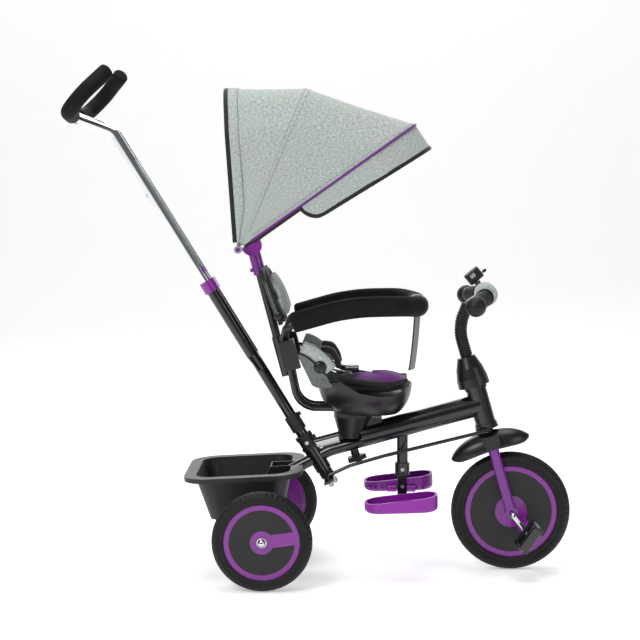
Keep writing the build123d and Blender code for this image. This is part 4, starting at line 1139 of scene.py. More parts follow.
def stitches(name: str, line: Sequence[Vector], length: float, gap: float, radius: float,
             finish: bpy.types.Material) -> bpy.types.Object:
    """Lay a row of stitches along a line.

    Args:
        name: The piece's name.
        line: Points in millimetres.
        length: Each stitch's length.
        gap: The gap between stitches.
        radius: The thread's radius.
        finish: Its material.

    Returns:
        One object with every stitch in it.
    """
    verts: list[Vector] = []
    faces: list[tuple[int, ...]] = []
    total = route_length(line)
    count = int(total / (length + gap))
    ends = walk(line, [s for i in range(count) for s in (i * (length + gap), i * (length + gap) + length)])
    for i in range(count):
        a, b = ends[2 * i], ends[2 * i + 1]
        ahead = (b - a).normalized()
        side = ahead.orthogonal().normalized()
        lift = ahead.cross(side)
        base = len(verts)
        for share, scale in ((0.0, 0.4), (0.2, 1.0), (0.8, 1.0), (1.0, 0.4)):
            at = a.lerp(b, share)
            for k in range(5):
                turn = 2 * math.pi * k / 5
                verts.append(at + (side * math.cos(turn) + lift * math.sin(turn)) * radius * scale)
        for ring in range(3):
            for k in range(5):
                p, q = base + ring * 5 + k, base + ring * 5 + (k + 1) % 5
                faces.append((p, q, q + 5, p + 5))
        faces.append(tuple(range(base, base + 5))[::-1])
        faces.append(tuple(range(base + 15, base + 20)))
    return make_piece(name, verts, faces, finish)


# ---- wheels ----------------------------------------------------------------------------------
@dataclass
class Wheel:
    """One wheel's tyre, with its tread, and the raised lip round each outer face."""

    finishes: FinishBook
    name: str
    body: str
    tyre_part: str
    centre: tuple[float, float, float]
    outer: float
    width: float
    seat: float
    faces: tuple[int, ...]
    lugs: int = 60

    def tyre_profile(self) -> list[tuple[float, float]]:
        """The tyre's closed section, with shoulder steps and three tread grooves."""
        half, out, seat = self.width / 2, self.outer, self.seat + 0.1
        right = [(seat, half - 2), (seat + 4, half - 0.3), (seat + 8, half), (seat + 8.6, half - 0.9),
                 (seat + 10.5, half - 0.9), (seat + 11.1, half), (out - 11, half), (out - 7, half - 1.6),
                 (out - 6.6, half - 2.6), (out - 4.6, half - 3.8), (out - 3, half - 6),
                 (out - 2.2, half - 8.2), (out - 3.6, half - 8.7), (out - 3.4, half - 9.8),
                 (out - 1.6, half - 10.3), (out - 0.5, half - 13.5), (out - 2.2, half - 13.9),
                 (out - 2.1, half - 14.9)]
        left = [(r, -a) for r, a in reversed(right)]
        return right + [(out, 1.0), (out, -1.0)] + left

    def tyre(self) -> None:
        """Make the tyre with lugs on its shoulders."""
        profile = self.tyre_profile()

        def cut(i: int, j: int) -> float:
            across = abs(profile[i][1])
            if profile[i][0] < self.outer - 9 or across < 3:
                return 0.0
            phase = j % 6
            return -1.5 if phase in (0, 1) and across > self.width / 2 - 9 else 0.0

        piece = turned(f"{self.name}_tyre", profile, self.centre, Vector((0, 1, 0)),
                       self.finishes.tyre_rubber, self.lugs * 6, True, cut)
        fit_out(piece, self.body, "tyre", self.tyre_part)

    def rings(self) -> None:
        """Add the raised lip round each outer face."""
        for face in self.faces:
            at = (self.centre[0], self.centre[1] + face * (self.width / 2 - 3.0), self.centre[2])
            lip = [(self.seat - 1.6, -0.6), (self.seat - 0.4, -0.6), (self.seat - 0.2, 0.9),
                   (self.seat - 0.8, 1.5), (self.seat - 1.5, 0.9)]
            side = "left" if face > 0 else "right"
            fit_out(turned(f"{self.name}_rim_lip_{side}", lip, at, Vector((0, face, 0)),
                           self.finishes.purple_abs, 96, True), self.body, "purple_plastic")

    def build(self) -> None:
        """Make the wheel's pieces."""
        self.tyre()
        self.rings()


@dataclass
class Wheels:
    """The three wheels."""

    finishes: FinishBook

    def build(self) -> None:
        """Make every wheel."""
        Wheel(self.finishes, "front", "front_wheel", "front_tyre", (409, 0, 127), 127, 36, 98,
              (1, -1)).build()
        Wheel(self.finishes, "rear_left", "rear_wheel_left", "rear_tyre_left", (-113, 205, 103), 103, 33, 78,
              (1,), 52).build()
        Wheel(self.finishes, "rear_right", "rear_wheel_right", "rear_tyre_right", (-113, -205, 103), 103, 33,
              78, (-1,), 52).build()


# ---- safety bar and handle -------------------------------------------------------------------
@dataclass
class SafetyBar:
    """The two foam-covered arms that meet in front, their legs, the strap's loop and the crotch strap."""

    finishes: FinishBook
    arm_y: float = 110.0
    foam: float = 21.3
    leg: float = 8.9
    cap_depth: float = 5.4
    post_tilt: float = 14.8
    socket: tuple[float, float] = (-60.4, 465.0)
    socket_y: float = 84.0
    strap_y: float = -14.0
    strap_tilt: Point = (0.44, 0.9, 0.0)
    loop_radius: float = 22.6
    loop_width: float = 24.0
    webbing_width: float = 27.0

    def arm(self, side: Side) -> None:
        """Make one arm with its leg and collar."""
        y = side.value * self.arm_y
        route = [(-55, y, 539), (60, y, 572), (170, y, 575), (205, side.value * 62, 570),
                 (210, side.value * 0.6, 568)]
        line = round_corners(route, [400.0, 46.0, 46.0], 5.0)

        def skin(along: float, turn: float) -> float:
            return noise.noise(Vector((along * 0.02, math.cos(turn), math.sin(turn) + side.value))) * 0.35

        foam = sweep(f"guard_foam_{side.name.lower()}", line, (self.foam, self.foam), self.finishes.foam, 36,
                     5.0, 9.0, swell=skin, far_round=0.0)
        leg_line = self.leg_route(side)
        leg = sweep(f"guard_leg_{side.name.lower()}", leg_line, (self.leg, self.leg),
                    self.finishes.satin_black, 20, 4.0, 1.0)
        collar_top = leg_line[0].lerp(leg_line[1], 0.78)
        cap_line = [collar_top, collar_top + (leg_line[1] - leg_line[0]).normalized() * self.cap_depth]
        cap = sweep(f"guard_cap_{side.name.lower()}", cap_line, (12.0, 12.0), self.finishes.satin_black, 28,
                    2.0, 1.2)
        node = f"guard_{side.name.lower()}"
        fit_out(foam, node, "black_foam", node)
        for part in (leg, cap):
            fit_out(part, node, "black_foam")

    def leg_route(self, side: Side) -> list[Vector]:
        """The leg's line, from inside its socket to inside the foam."""
        tilt = math.radians(self.post_tilt)
        up = Vector((-math.sin(tilt), 0, math.cos(tilt)))
        base = Vector((self.socket[0], side.value * self.socket_y, self.socket[1]))
        start = base - up * 21.0
        y = side.value * self.arm_y
        return round_corners([start, base + up * 43.0, (-66, y, 530), (-36, y, 545)], [10.0, 14.0], 3.0)

    def straps(self) -> None:
        """Make the strap's loop over the right-hand arm and the wide crotch strap."""
        middle = Vector((207.0, self.strap_y, 568.3))
        loop = []
        for k in range(33):
            turn = 2 * math.pi * k / 32
            loop.append(middle + Vector((math.cos(turn), 0, math.sin(turn))) * self.loop_radius)
        band = cloth_band("guard_strap_loop", loop, Vector((0, 1, 0)), self.loop_width, 1.6,
                          self.finishes.strap_grey, 1.5)
        route_length(loop) * MM
        fit_out(band, "guard_right", "grey_fabric", "crotch_strap")
        hang = ((206.5, 545.2), (204.6, 515.0), (201.0, 475.0), (196.2, 438.0), (194.4, 431.6))
        route = [Vector((x, self.strap_y, z)) for x, z in hang]
        turned_out = Vector(self.strap_tilt).normalized()
        strap = cloth_band("crotch_webbing", route, turned_out, self.webbing_width, 2.2,
                           self.finishes.strap_grey, 2.0)
        route_length(route) * MM
        fit_out(strap, "guard_right", "grey_fabric")
        for edge, out in (("a", 12.8), ("b", -12.8)):
            line = [p + turned_out * out for p in route]
            fit_out(sweep(f"crotch_webbing_edge_{edge}", line, (1.5, 1.9), self.finishes.binding, 10, 4.0,
                          1.0),
                    "guard_right", "black_webbing")

    def build(self) -> None:
        """Make both arms and the straps."""
        self.arm(Side.LEFT)
        self.arm(Side.RIGHT)
        self.straps()


def cloth_band(name: str, route: Sequence[Vector], across: Vector, width: float, thickness: float,
               finish: bpy.types.Material, sag: float = 0.0) -> bpy.types.Object:
    """Make a flat woven band along a route.

    Args:
        name: The piece's name.
        route: The middle line in millimetres.
        across: The direction of its width.
        width: Its width.
        thickness: Its thickness.
        finish: Its material.
        sag: How far its middle bows from its edges.

    Returns:
        The new object.
    """
    total = route_length(route)
    count = max(8, int(total / 4))
    line = walk(route, [total * i / count for i in range(count + 1)])

    def place(share: float, over: float) -> Vector:
        i = round(share * count)
        ahead = (line[min(i + 1, count)] - line[max(i - 1, 0)]).normalized()
        out = ahead.cross(across).normalized()
        bow = sag * (1 - (2 * over - 1) ** 2) * 0.4
        return line[i] + across * width * (over - 0.5) + out * bow

    return cloth_grid(name, place, count, 8, thickness, (total, width), finish)


@dataclass
class PushHandle:
    """The two foam grips of the push handle."""

    finishes: FinishBook
    base_x: float = -517.0
    base_z: float = 965.0
    rise: float = 47.0
    foam: float = 16.4

    def at(self, along: float, out: float) -> Vector:
        """A point of the handle's loop, along its rise and out to the side."""
        turn = math.radians(self.rise)
        return Vector((self.base_x + along * math.cos(turn), out, self.base_z + along * math.sin(turn)))

    def build(self) -> None:
        """Make both grips, with rounded ends."""
        for side in (Side.LEFT, Side.RIGHT):
            s = side.value
            start = self.at(0, s * 17).lerp(self.at(10, s * 122), 0.16)
            tip, bend = self.at(124, s * 108), self.at(58, s * 150)
            route = [start, self.at(10, s * 122), bend, tip + (tip - bend).normalized() * 3]
            line = round_corners(route, [40.0, 44.0], 4.0)

            def skin(along: float, turn: float, s: int = s) -> float:
                return noise.noise(Vector((along * 0.03, math.cos(turn) + s, math.sin(turn)))) * 0.3

            grip = sweep(f"handle_grip_{side.name.lower()}", line, (self.foam, self.foam), self.finishes.foam,
                         36, 4.0, 5.0, swell=skin)
            replaced = ("handle_foam",) if side is Side.LEFT else ()
            fit_out(grip, "push_handle", "black_foam", *replaced)


# ---- seat soft goods -------------------------------------------------------------------------
@dataclass
class SeatLiner:
    """The padded liner: a seat pad with its purple insert, a reclined back, two bolsters and side flaps."""

    finishes: FinishBook
    seat_low: float = 382.0
    seat_top: float = 421.0

    def seat_pad(self) -> None:
        """Make the seat pad, crowned and puffed."""
        place = Matrix.Translation((97.0, 0, (self.seat_low + self.seat_top) / 2))
        # The pad's charcoal is partly its own dark mesh and partly painted shade between the insert's edge
        # and the shell rim.
        pad = pillow("liner_seat", place, (84.0, 80.0), 32.0, self.finishes.mesh_and_painted_shade, 3.0, 0.42)
        inflate(pad, 0.005, 3.0, 0.005)
        fit_out(pad, "seat", "grey_fabric", "seat_liner")

    def insert(self) -> None:
        """Make the purple panel sewn on the seat pad, with its black binding."""
        outline: list[Vector] = []
        for k in range(97):
            turn = 2 * math.pi * k / 96
            c, s = math.cos(turn), math.sin(turn)
            x = math.copysign(abs(c) ** 0.62, c) * 72.0
            y = math.copysign(abs(s) ** 0.62, s) * 74.0
            edge = 406.0 + 6.5 * max(0.0, c)
            outline.append(Vector((112.0 + x, y, edge)))

        def place(across: float, along: float) -> Vector:
            point = outline[round(across * 96) % 96]
            share = along
            x = 112.0 + (point.x - 112.0) * share
            y = point.y * share
            dome = 17.5 * (1 - share**2.4)
            return Vector((x, y, point.z + dome - 2.0 * (1 - share)))

        insert = cloth_grid("liner_insert", place, 96, 14, 1.2, (420.0, 74.0), self.finishes.purple_cloth)
        fit_out(insert, "seat", "grey_fabric")
        fit_out(sweep("liner_insert_binding", outline, (2.6, 2.6), self.finishes.binding, 12, 5.0, 0.0),
                "seat", "black_webbing")

    def back(self) -> None:
        """Make the reclined back pad."""
        tilt = math.radians(24.0)
        up = Vector((-math.sin(tilt), 0, math.cos(tilt)))
        out = Vector((math.cos(tilt), 0, math.sin(tilt)))
        middle = Vector((-13.5, 0, 439.0))
        place = Matrix(((0, up.x, out.x, middle.x), (1, up.y, out.y, middle.y), (0, up.z, out.z, middle.z),
                        (0, 0, 0, 1)))
        pad = pillow("liner_back", place, (74.0, 49.0), 12.0, self.finishes.seat_cloth, 3.4, 0.45)
        inflate(pad, 0.005, 3.0, 0.004)
        fit_out(pad, "seat", "grey_fabric")

    def bolster(self, side: Side) -> None:
        """Make one side bolster, its binding and the mesh flap below it."""
        y = side.value * 84.5
        route = round_corners([(-36, y, 487), (-16, y, 479), (6, y, 461), (26, y, 438)], [40.0, 60.0], 4.0)

        def skin(along: float, turn: float) -> float:
            pleat = math.sin(along * 0.35) * 0.5 * max(0.0, math.sin(turn))
            return pleat + noise.noise(Vector((along * 0.05, turn, side.value))) * 0.5

        roll = sweep(f"liner_bolster_{side.name.lower()}", route, (8.0, 14.5), self.finishes.seat_cloth, 28,
                     4.0, 6.0, up=Vector((0, side.value, 0)).cross(Vector((1, 0, -1))).normalized(),
                     swell=skin)
        fit_out(roll, "seat", "grey_fabric")
        low = [p + Vector((-10.5, side.value * 6.3, -10.5)) for p in route]
        rim = round_corners([(20, side.value * 88, 436), (44, side.value * 86, 424),
                             (80, side.value * 84, 414), (120, side.value * 80, 408),
                             (160, side.value * 66, 408), (186, side.value * 40, 412)],
                            [40.0, 60.0, 60.0, 40.0], 4.0)
        fit_out(sweep(f"liner_rim_{side.name.lower()}", rim, (3.6, 5.2), self.finishes.binding, 16, 4.0, 3.0,
                      up=Vector((0, 0, 1))), "seat", "black_webbing")
        fit_out(sweep(f"liner_edge_{side.name.lower()}", low, (2.4, 2.4), self.finishes.binding, 12, 4.0,
                      1.5),
                "seat", "black_webbing")
        flap_low = [Vector((-14, 0, 408)), Vector((-6, 0, 404)), Vector((4, 0, 402)), Vector((16, 0, 402)),
                    Vector((30, 0, 404))]
        total = route_length(low)

        def place(across: float, along: float) -> Vector:
            top = walk(low, [total * across])[0]
            foot = walk(flap_low, [route_length(flap_low) * across])[0]
            foot = Vector((foot.x, side.value * 93.5, foot.z))
            point = Vector((top.x, side.value * 91.0, top.z)).lerp(foot, along)
            ripple = noise.noise(Vector((point.x * 0.04, point.z * 0.05, side.value * 2.0))) * 1.6
            return point + Vector((0, side.value * (ripple * math.sin(math.pi * along) + 1.0), 0))

        flap = cloth_grid(f"liner_flap_{side.name.lower()}", place, 26, 22, 1.6, (80.0, 62.0),
                          self.finishes.mesh_cloth)
        fit_out(flap, "seat", "grey_fabric")

    def harness(self) -> None:
        """Make the shoulder straps with their pads, the hip buttons, the buckle and its release."""
        for side in (Side.LEFT, Side.RIGHT):
            y = side.value * 51.0
            name = side.name.lower()
            route = round_corners([(-30, y, 484), (-10, y, 475), (24, y, 437), (52, y, 431), (66, y, 431)],
                                  [20.0, 30.0, 20.0], 4.0)
            strap = cloth_band(f"harness_strap_{name}", route, Vector((0, 1, 0)), 22.0, 1.8,
                               self.finishes.binding)
            route_length(route) * MM
            replaced = ("harness",) if side is Side.LEFT else ()
            fit_out(strap, "seat", "black_webbing", *replaced)
            pad_line = round_corners([(4, y, 480), (26, y, 478), (38, y, 458), (42, y, 440)], [12.0, 20.0],
                                     3.0)
            pad = sweep(f"harness_pad_{name}", pad_line, (14.5, 6.5), self.finishes.binding, 24, 4.0, 4.0,
                        up=Vector((0.7, 0, 0.7)), power=3.0)
            fit_out(pad, "seat", "black_webbing")
            knob = [(0.6, -5.0), (9.0, -5.0), (12.4, -4.0), (13.2, -1.0), (12.8, 2.0), (10.0, 4.4),
                    (5.0, 5.2), (0.6, 5.2)]
            at = (3.0, side.value * 93.0, 446.0)
            fit_out(turned(f"harness_button_{name}", knob, at, Vector((0, side.value, 0)),
                           self.finishes.satin_black, 40), "seat", "black_webbing")
        shell = sweep("harness_buckle", [Vector((69, -31.5, 432.0)), Vector((69, 31.5, 432.0))], (15.0, 5.0),
                      self.finishes.grained_black, 32, 3.0, 4.0, up=Vector((0, 0, 1)), power=3.6)
        fit_out(shell, "seat", "black_webbing")
        release = [(0.5, -0.5), (9.0, -0.5), (9.2, 1.0), (7.6, 1.9), (0.5, 2.2)]
        fit_out(turned("harness_release", release, (69, 0, 436.6), Vector((0, 0, 1)),
                       self.finishes.gloss_black, 36),
                "seat", "black_webbing")

    def build(self) -> None:
        """Make every piece of the liner and the harness."""
        self.seat_pad()
        self.insert()
        self.back()
        self.bolster(Side.LEFT)
        self.bolster(Side.RIGHT)
        self.harness()


@dataclass
class Backrest:
    """The upper back cushion, the cloth cover behind it and the piping between them."""

    finishes: FinishBook
    tilt: float = 20.0

    def place(self, out: float, up: float) -> Matrix:
        """The cushion's own axes, out from the board and up along it."""
        turn = math.radians(self.tilt)
        front = Vector((math.cos(turn), 0, math.sin(turn)))
        top = Vector((-math.sin(turn), 0, math.cos(turn)))
        at = Vector((-100, 0, 592)) + front * out + top * up
        return Matrix(((0, top.x, front.x, at.x), (1, top.y, front.y, at.y), (0, top.z, front.z, at.z),
                       (0, 0, 0, 1)))

    def build(self) -> None:
        """Make the cushion, the cover and the piping."""
        pad = pillow("backrest_cushion", self.place(14.2, -6.0), (82.0, 50.0), 17.0, self.finishes.seat_cloth,
                     3.6, 0.4)
        inflate(pad, 0.005, 4.0, 0.006)
        fit_out(pad, "seat", "grey_fabric", "backrest_pad")
        cover = pillow("backrest_cover", self.place(0.0, -2.0), (91.5, 62.5), 14.5, self.finishes.mesh_cloth,
                       5.0, 0.22)
        fit_out(cover, "seat", "grey_fabric")
        loop = []
        base = self.place(6.2, -4.0)
        for k in range(121):
            turn = 2 * math.pi * k / 120
            c, s = math.cos(turn), math.sin(turn)
            x = math.copysign(abs(c) ** 0.5, c) * 85.5
            y = math.copysign(abs(s) ** 0.5, s) * 56.0
            loop.append(base @ Vector((x, y, 0)))
        fit_out(sweep("backrest_piping", loop, (3.0, 3.0), self.finishes.binding, 14, 5.0, 0.0), "seat",
                "black_webbing")
        for side in (Side.LEFT, Side.RIGHT):
            at = self.place(3.0, -44.0) @ Vector((side.value * 87.0, 0, 0))
            profile = [(0.6, -4.0), (8.0, -4.0), (10.5, -2.5), (11.0, 0.5), (9.6, 3.4), (5.0, 4.6),
                       (0.6, 4.8)]
            fit_out(turned(f"backrest_knob_{side.name.lower()}", profile, at, Vector((0, side.value, 0)),
                           self.finishes.satin_black, 36), "seat", "black_webbing")


# ---- handlebar -------------------------------------------------------------------------------
@dataclass
class Handlebar:
    """The padded bar centre, the ribbed sleeve over the stem, ribbed grips and the bell's trim."""

    finishes: FinishBook
    centre: tuple[float, float, float] = (352.0, 0.0, 592.0)
    end_x: float = 321.0
    end_z: float = 578.0
    half: float = 152.0

    def bar_point(self, y: float) -> Vector:
        """A point on the swept-back bar."""
        share = max(0.0, (abs(y) - 40.0) / (self.half - 40.0))
        return Vector((self.centre[0] + (self.end_x - self.centre[0]) * share, y,
                       self.centre[2] + (self.end_z - self.centre[2]) * share))

    def pad(self) -> None:
        """Make the round pad, crowned at its seams."""
        line = [Vector((self.centre[0], y, self.centre[2])) for y in (-34.0, 34.0)]

        def skin(along: float, turn: float) -> float:
            bulge = 0.8 * math.sin(math.pi * along / 68)
            quilt = -1.0 * math.exp(-((along - 34) / 2.0) ** 2)
            return bulge + quilt + noise.noise(Vector((along * 0.06, math.cos(turn), math.sin(turn)))) * 0.5

        pad = sweep("handlebar_cushion", line, (23.0, 23.0), self.finishes.seat_cloth, 48, 2.5, 9.0,
                    swell=skin)
        fit_out(pad, "fork", "grey_fabric", "handlebar_pad")

    def sleeve(self) -> None:
        """Add the close ribs of the stem's rubber sleeve."""
        tilt = math.radians(16.2)
        low = Vector((409.0 - 347.0 * math.sin(tilt), 0, 127.0 + 347.0 * math.cos(tilt)))
        route = round_corners([low, (299, 0, 506), (301, 0, 536), (314, 0, 570)], [90.0, 60.0], 2.0)

        def rib(along: float, turn: float) -> float:
            return 2.0 * abs(math.sin(math.pi * along / 5.4)) - 0.4

        sleeve = sweep("stem_ribs", route, (12.2, 12.2), self.finishes.grip_rubber, 32, 0.7, 0.0, swell=rib)
        fit_out(sleeve, "fork", "black_rubber", "stem_bellows")

    def grips(self) -> None:
        """Add the raised bands of the two grips."""
        for side in (Side.LEFT, Side.RIGHT):
            rings = []
            for k in range(8):
                y = side.value * (72.0 + 6.5 * k)
                a, b = self.bar_point(y), self.bar_point(y + side.value * 3.4)
                rings.append(sweep(f"ring_{k}", [a, b], (17.0, 17.0), self.finishes.grip_rubber, 36, 1.0,
                                   1.0))
            fit_out(join(f"grip_bands_{side.name.lower()}", rings), "fork", "black_rubber")

    def bell(self) -> None:
        """Add the bell's two side windows and their frames."""
        turn = math.radians(-40)
        base = Vector((329.9, 52.0, 626.9))
        ahead = Vector((math.cos(turn), 0, -math.sin(turn)))
        up = Vector((math.sin(turn), 0, math.cos(turn)))
        for side in (Side.LEFT, Side.RIGHT):
            y = 52.0 + side.value * 13.0
            name = side.name.lower()
            at = Vector((base.x, y, base.z)) + up * 2.0 - ahead * 2.0
            window = sweep(f"bell_window_{name}", [at - ahead * 6, at + ahead * 6], (4.2, 0.9),
                           self.finishes.window, 24, 2.0, 0.5, up=Vector((0, 1, 0)), power=6.0)
            fit_out(window, "fork", "gloss_black")
            rim = []
            for k in range(49):
                a = 2 * math.pi * k / 48
                c, s = math.cos(a), math.sin(a)
                x, z = math.copysign(abs(c) ** 0.35, c) * 8.5, math.copysign(abs(s) ** 0.35, s) * 6.4
                rim.append(at + ahead * x + up * z)
            fit_out(sweep(f"bell_rim_{name}", rim, (0.9, 0.9), self.finishes.gloss_black, 10, 2.0), "fork",
                    "gloss_black")

    def build(self) -> None:
        """Make every handlebar piece."""
        self.pad()
        self.sleeve()
        self.grips()
        self.bell()


# ---- mudguard and pedals ---------------------------------------------------------------------
@dataclass
class Mudguard:
    """The leaf-shaped front mudguard, crowned across and rounded at both ends."""

    finishes: FinishBook
    centre: tuple[float, float] = (409.0, 127.0)
    radius: float = 177.6
    rear: float = 139.0
    front: float = 77.0
    half_width: float = 29.6
    depth: float = 38.0

    def build(self) -> None:
        """Make the guard."""
        def place(across: float, along: float) -> Vector:
            run = 2 * across - 1
            angle = math.radians(self.rear + (self.front - self.rear) * across)
            full = max(0.02, 1 - abs(run) ** 2.6) ** 0.5
            turn = math.pi / 2 * (1 - 2 * along)
            y = self.half_width * full * math.sin(turn)
            deep = self.depth * full * (1 - math.cos(turn)) + 10.0 * abs(run) ** 4
            radius = self.radius - deep
            return Vector((self.centre[0] + radius * math.cos(angle), y,
                           self.centre[1] + radius * math.sin(angle)))

        guard = cloth_grid("front_mudguard", place, 60, 28, 2.4, (190.0, 90.0), self.finishes.satin_black)
        fit_out(guard, "fork", "black_plastic", "mudguard")


@dataclass
class Pedal:
    """One pedal: a barrel, two end cheeks and ribbed tread bars."""

    finishes: FinishBook
    side: Side
    half_y: float = 33.0
    half_l: float = 31.0
    half_t: float = 13.0
    tilt: float = 55.0

    def build(self) -> None:
        """Make the pedal in place of its plain block."""
        name = f"pedal_{self.side.name.lower()}"
        low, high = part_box(name)
        centre = (low + high) * (0.5 / MM)
        turn = math.radians(self.tilt)
        run = Vector((math.cos(turn), 0, math.sin(turn)))
        lift = Vector((-math.sin(turn), 0, math.cos(turn)))
        pieces = []
        for end in (-1, 1):
            at = centre + Vector((0, end * (self.half_y - 4.0), 0))
            pieces.append(sweep(f"cheek_{end}", [at - run * (self.half_l - 2), at + run * (self.half_l - 2)],
                                (3.8, self.half_t - 1.5), self.finishes.gloss_black, 24, 3.0, 3.0, up=lift,
                                power=3.2))
        pieces.append(sweep("barrel", [centre - Vector((0, 30, 0)), centre + Vector((0, 30, 0))], (8.0, 8.0),
                            self.finishes.gloss_black, 28, 4.0, 1.0))
        for row, face in ((-1, 1), (1, 1), (-1, -1), (1, -1)):
            at = centre + run * (row * (self.half_l - 5.5)) + lift * (face * (self.half_t - 5.0))
            ends = [at - Vector((0, 31, 0)), at + Vector((0, 31, 0))]

            def tread(along: float, angle: float) -> float:
                return 0.9 * (1.0 if math.sin(along * 2 * math.pi / 8.0) > 0 else -0.4)

            pieces.append(sweep(f"tread_{row}_{face}", ends, (4.4, 4.0), self.finishes.gloss_black, 20, 1.3,
                                1.0, up=lift, swell=tread, power=3.0))
        for row in (-1, 1):
            at = centre + run * (row * (self.half_l - 1.6))
            pieces.append(sweep(f"reflector_{row}", [at - Vector((0, 20, 0)), at + Vector((0, 20, 0))],
                                (1.4, 5.0), self.finishes.window, 20, 3.0, 1.0, up=lift, power=5.0))
        fit_out(join(f"{name}_cage", pieces), name, "gloss_black", name)


# ---- small trim ------------------------------------------------------------------------------
@dataclass
class Trim:
    """The blank label on the upper rail, the footrests' grip lines and the nuts at the push column's foot."""

    finishes: FinishBook
    rail_slope: float = 15.3
    rail_radius: float = 11.35
    label_middle: Point = (16.0, 0.0, 277.0)
    label_length: float = 52.0
    ribs: int = 9
    rib_first: float = 106.0
    rib_pitch: float = 15.0
    rib_reach: tuple[float, float] = (66.0, 134.0)
    tray_top: float = 158.2
    column_tilt: float = 31.6
    column_foot_at: tuple[float, float] = (34.0, 175.0)

    def label(self) -> None:
        """Make the blank label on the right-hand side of the upper rail."""
        slope = math.radians(self.rail_slope)
        ahead = Vector((math.cos(slope), 0, math.sin(slope)))
        up = Vector((-math.sin(slope), 0, math.cos(slope)))
        middle = Vector(self.label_middle)

        def place(across: float, along: float) -> Vector:
            turn = math.radians(-72 + 140 * along)
            round_rail = up * math.sin(turn) - Vector((0, math.cos(turn), 0))
            return middle + ahead * (self.label_length * (across - 0.5)) + round_rail * self.rail_radius

        sticker = cloth_grid("blank_label", place, 20, 24, 0.25, (self.label_length, 28.0),
                             self.finishes.label)
        fit_out(sticker, "frame", "grey_fabric")

    def footrest_ribs(self) -> None:
        """Add the raised grip lines on top of each footrest."""
        for side in (Side.LEFT, Side.RIGHT):
            name = f"footrest_{side.name.lower()}"
            ribs = []
            for k in range(self.ribs):
                x = self.rib_first + self.rib_pitch * k
                line = [Vector((x, side.value * y, self.tray_top)) for y in self.rib_reach]
                ribs.append(sweep(f"rib_{k}", line, (2.2, 1.3), self.finishes.footrest_purple, 12, 4.0, 1.2,
                                  up=Vector((0, 0, 1))))
            fit_out(join(f"{name}_grip", ribs), name, "purple_plastic")

    def column_foot(self) -> None:
        """Add the bright nuts and washers at the push column's foot."""
        tilt = math.radians(self.column_tilt)
        foot_x, foot_z = self.column_foot_at
        down = Vector((math.sin(tilt), 0, -math.cos(tilt)))
        dome = [(0.4, -7.0), (7.5, -7.0), (7.5, -5.6), (5.6, -5.2), (5.6, -1.0), (5.0, 1.6), (3.2, 3.6),
                (0.4, 4.4)]
        nuts = []
        for i, (along, fore, y) in enumerate(((14.0, 0.0, -38.0), (12.0, 8.0, -7.0), (12.0, 8.0, 7.0))):
            at = Vector((foot_x - along * math.sin(tilt) + fore * math.cos(tilt), y,
                         foot_z + along * math.cos(tilt) + fore * math.sin(tilt)))
            nuts.append(turned(f"nut_{i}", dome, at, down, self.finishes.zinc, 6 if i else 24))
        fit_out(join("column_foot_nuts", nuts), "push_column", "bright_steel")

    def build(self) -> None:
        """Make the trim."""
        self.label()
        self.footrest_ribs()
        self.column_foot()


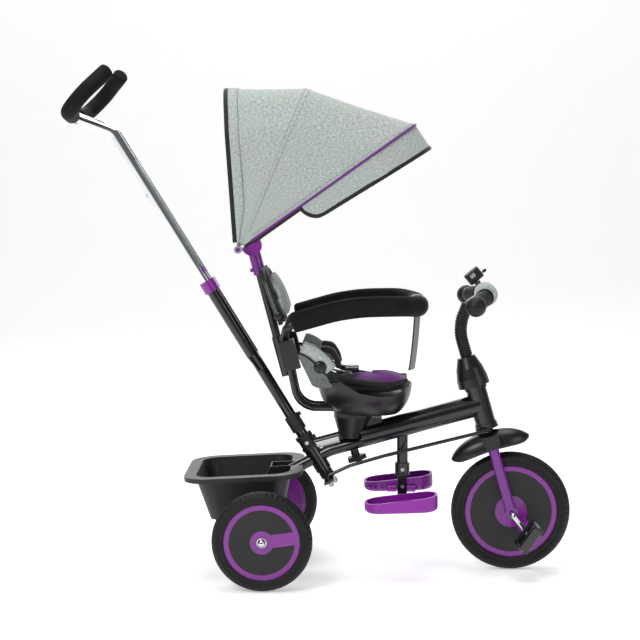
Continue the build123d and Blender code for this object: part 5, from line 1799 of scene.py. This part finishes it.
# ---- studio ----------------------------------------------------------------------------------
@dataclass
class Studio:
    """The pale floor, the soft lights and the camera."""

    camera_at: tuple[float, float, float] = (0.0757, -3.6007, 0.8896)
    camera_down: float = 0.098
    camera_turn: float = 0.0208
    lens: float = 95.73

    def sweep_floor(self) -> None:
        """Lay a pale seamless floor that curves up behind the tricycle."""
        material, tree = start_material("studio_paper")
        where = add_node(tree, "ShaderNodeTexCoord").outputs["Object"]
        fibre = add_node(tree, "ShaderNodeTexNoise", {"Vector": where, "Scale": 60.0, "Detail": 4.0})
        tone = mix_colours(tree, fibre.outputs[0], linear("#F6F6F6"), linear("#FAFAFA"))
        shade(tree, {"Base Color": tone, "Roughness": 0.95, "Specular IOR Level": 0.1,
                     "Emission Color": (1, 1, 1, 1), "Emission Strength": 0.34})
        rows = [(-9000.0, 0.0), (-3000.0, 0.0), (2600.0, 0.0)]
        rows += [(2600 + 1800 * math.sin(math.radians(a)), 1800 - 1800 * math.cos(math.radians(a)))
                 for a in range(6, 91, 6)]
        rows.append((4400.0, 6000.0))
        verts = [Vector((x, y, z - 0.2)) for y, z in rows for x in (-9000.0, 9000.0)]
        faces = [(2 * i, 2 * i + 1, 2 * i + 3, 2 * i + 2) for i in range(len(rows) - 1)]
        make_piece("studio_floor", verts, faces, material)

    def light(self, name: str, at: Point, aim: Point, size: float, power: float) -> None:
        """Hang one soft square light.

        Args:
            name: Its name.
            at: Where it hangs, in metres.
            aim: What it points at, in metres.
            size: Its side in metres.
            power: Its power in watts.
        """
        data = bpy.data.lights.new(name, "AREA")
        data.shape = "SQUARE"
        data.size = size
        data.energy = power
        lamp = bpy.data.objects.new(name, data)
        lamp.location = at
        lamp.rotation_euler = (Vector(aim) - Vector(at)).to_track_quat("-Z", "Y").to_euler()
        bpy.context.scene.collection.objects.link(lamp)

    def build(self) -> None:
        """Make the floor, the lights and the camera."""
        self.sweep_floor()
        world = bpy.data.worlds.new("studio_air")
        world.use_nodes = True
        world.node_tree.nodes.clear()
        air = add_node(world.node_tree, "ShaderNodeBackground", {"Color": (1, 1, 1, 1), "Strength": 0.16})
        add_node(world.node_tree, "ShaderNodeOutputWorld", {"Surface": air.outputs[0]})
        bpy.context.scene.world = world
        bpy.context.scene.view_settings.view_transform = "Standard"
        self.light("key", (-1.6, -2.6, 2.9), (0.0, 0.0, 0.5), 1.5, 74.0)
        self.light("fill", (2.6, -2.4, 1.5), (0.1, 0.0, 0.4), 1.2, 16.0)
        self.light("top", (0.0, 0.2, 3.4), (0.0, 0.0, 0.4), 2.4, 66.0)
        self.light("rim", (-0.4, 2.4, 2.0), (0.0, 0.0, 0.6), 1.6, 26.0)
        data = bpy.data.cameras.new("camera")
        data.lens = self.lens
        data.sensor_width = 36.0
        camera = bpy.data.objects.new("camera", data)
        camera.location = self.camera_at
        camera.rotation_euler = (math.pi / 2 - self.camera_down, 0.0, self.camera_turn)
        bpy.context.scene.collection.objects.link(camera)
        bpy.context.scene.camera = camera


def main() -> None:
    """Build the scene in order."""
    logging.basicConfig(level=logging.INFO, format="%(message)s")
    Studio().build()
    finishes = FinishBook()
    finishes.dress_parts()
    Wheels(finishes).build()
    Canopy(finishes).build()
    SeatLiner(finishes).build()
    Backrest(finishes).build()
    SafetyBar(finishes).build()
    PushHandle(finishes).build()
    Handlebar(finishes).build()
    Mudguard(finishes).build()
    Pedal(finishes, Side.LEFT).build()
    Pedal(finishes, Side.RIGHT).build()
    Trim(finishes).build()


if __name__ == "__main__":
    main()
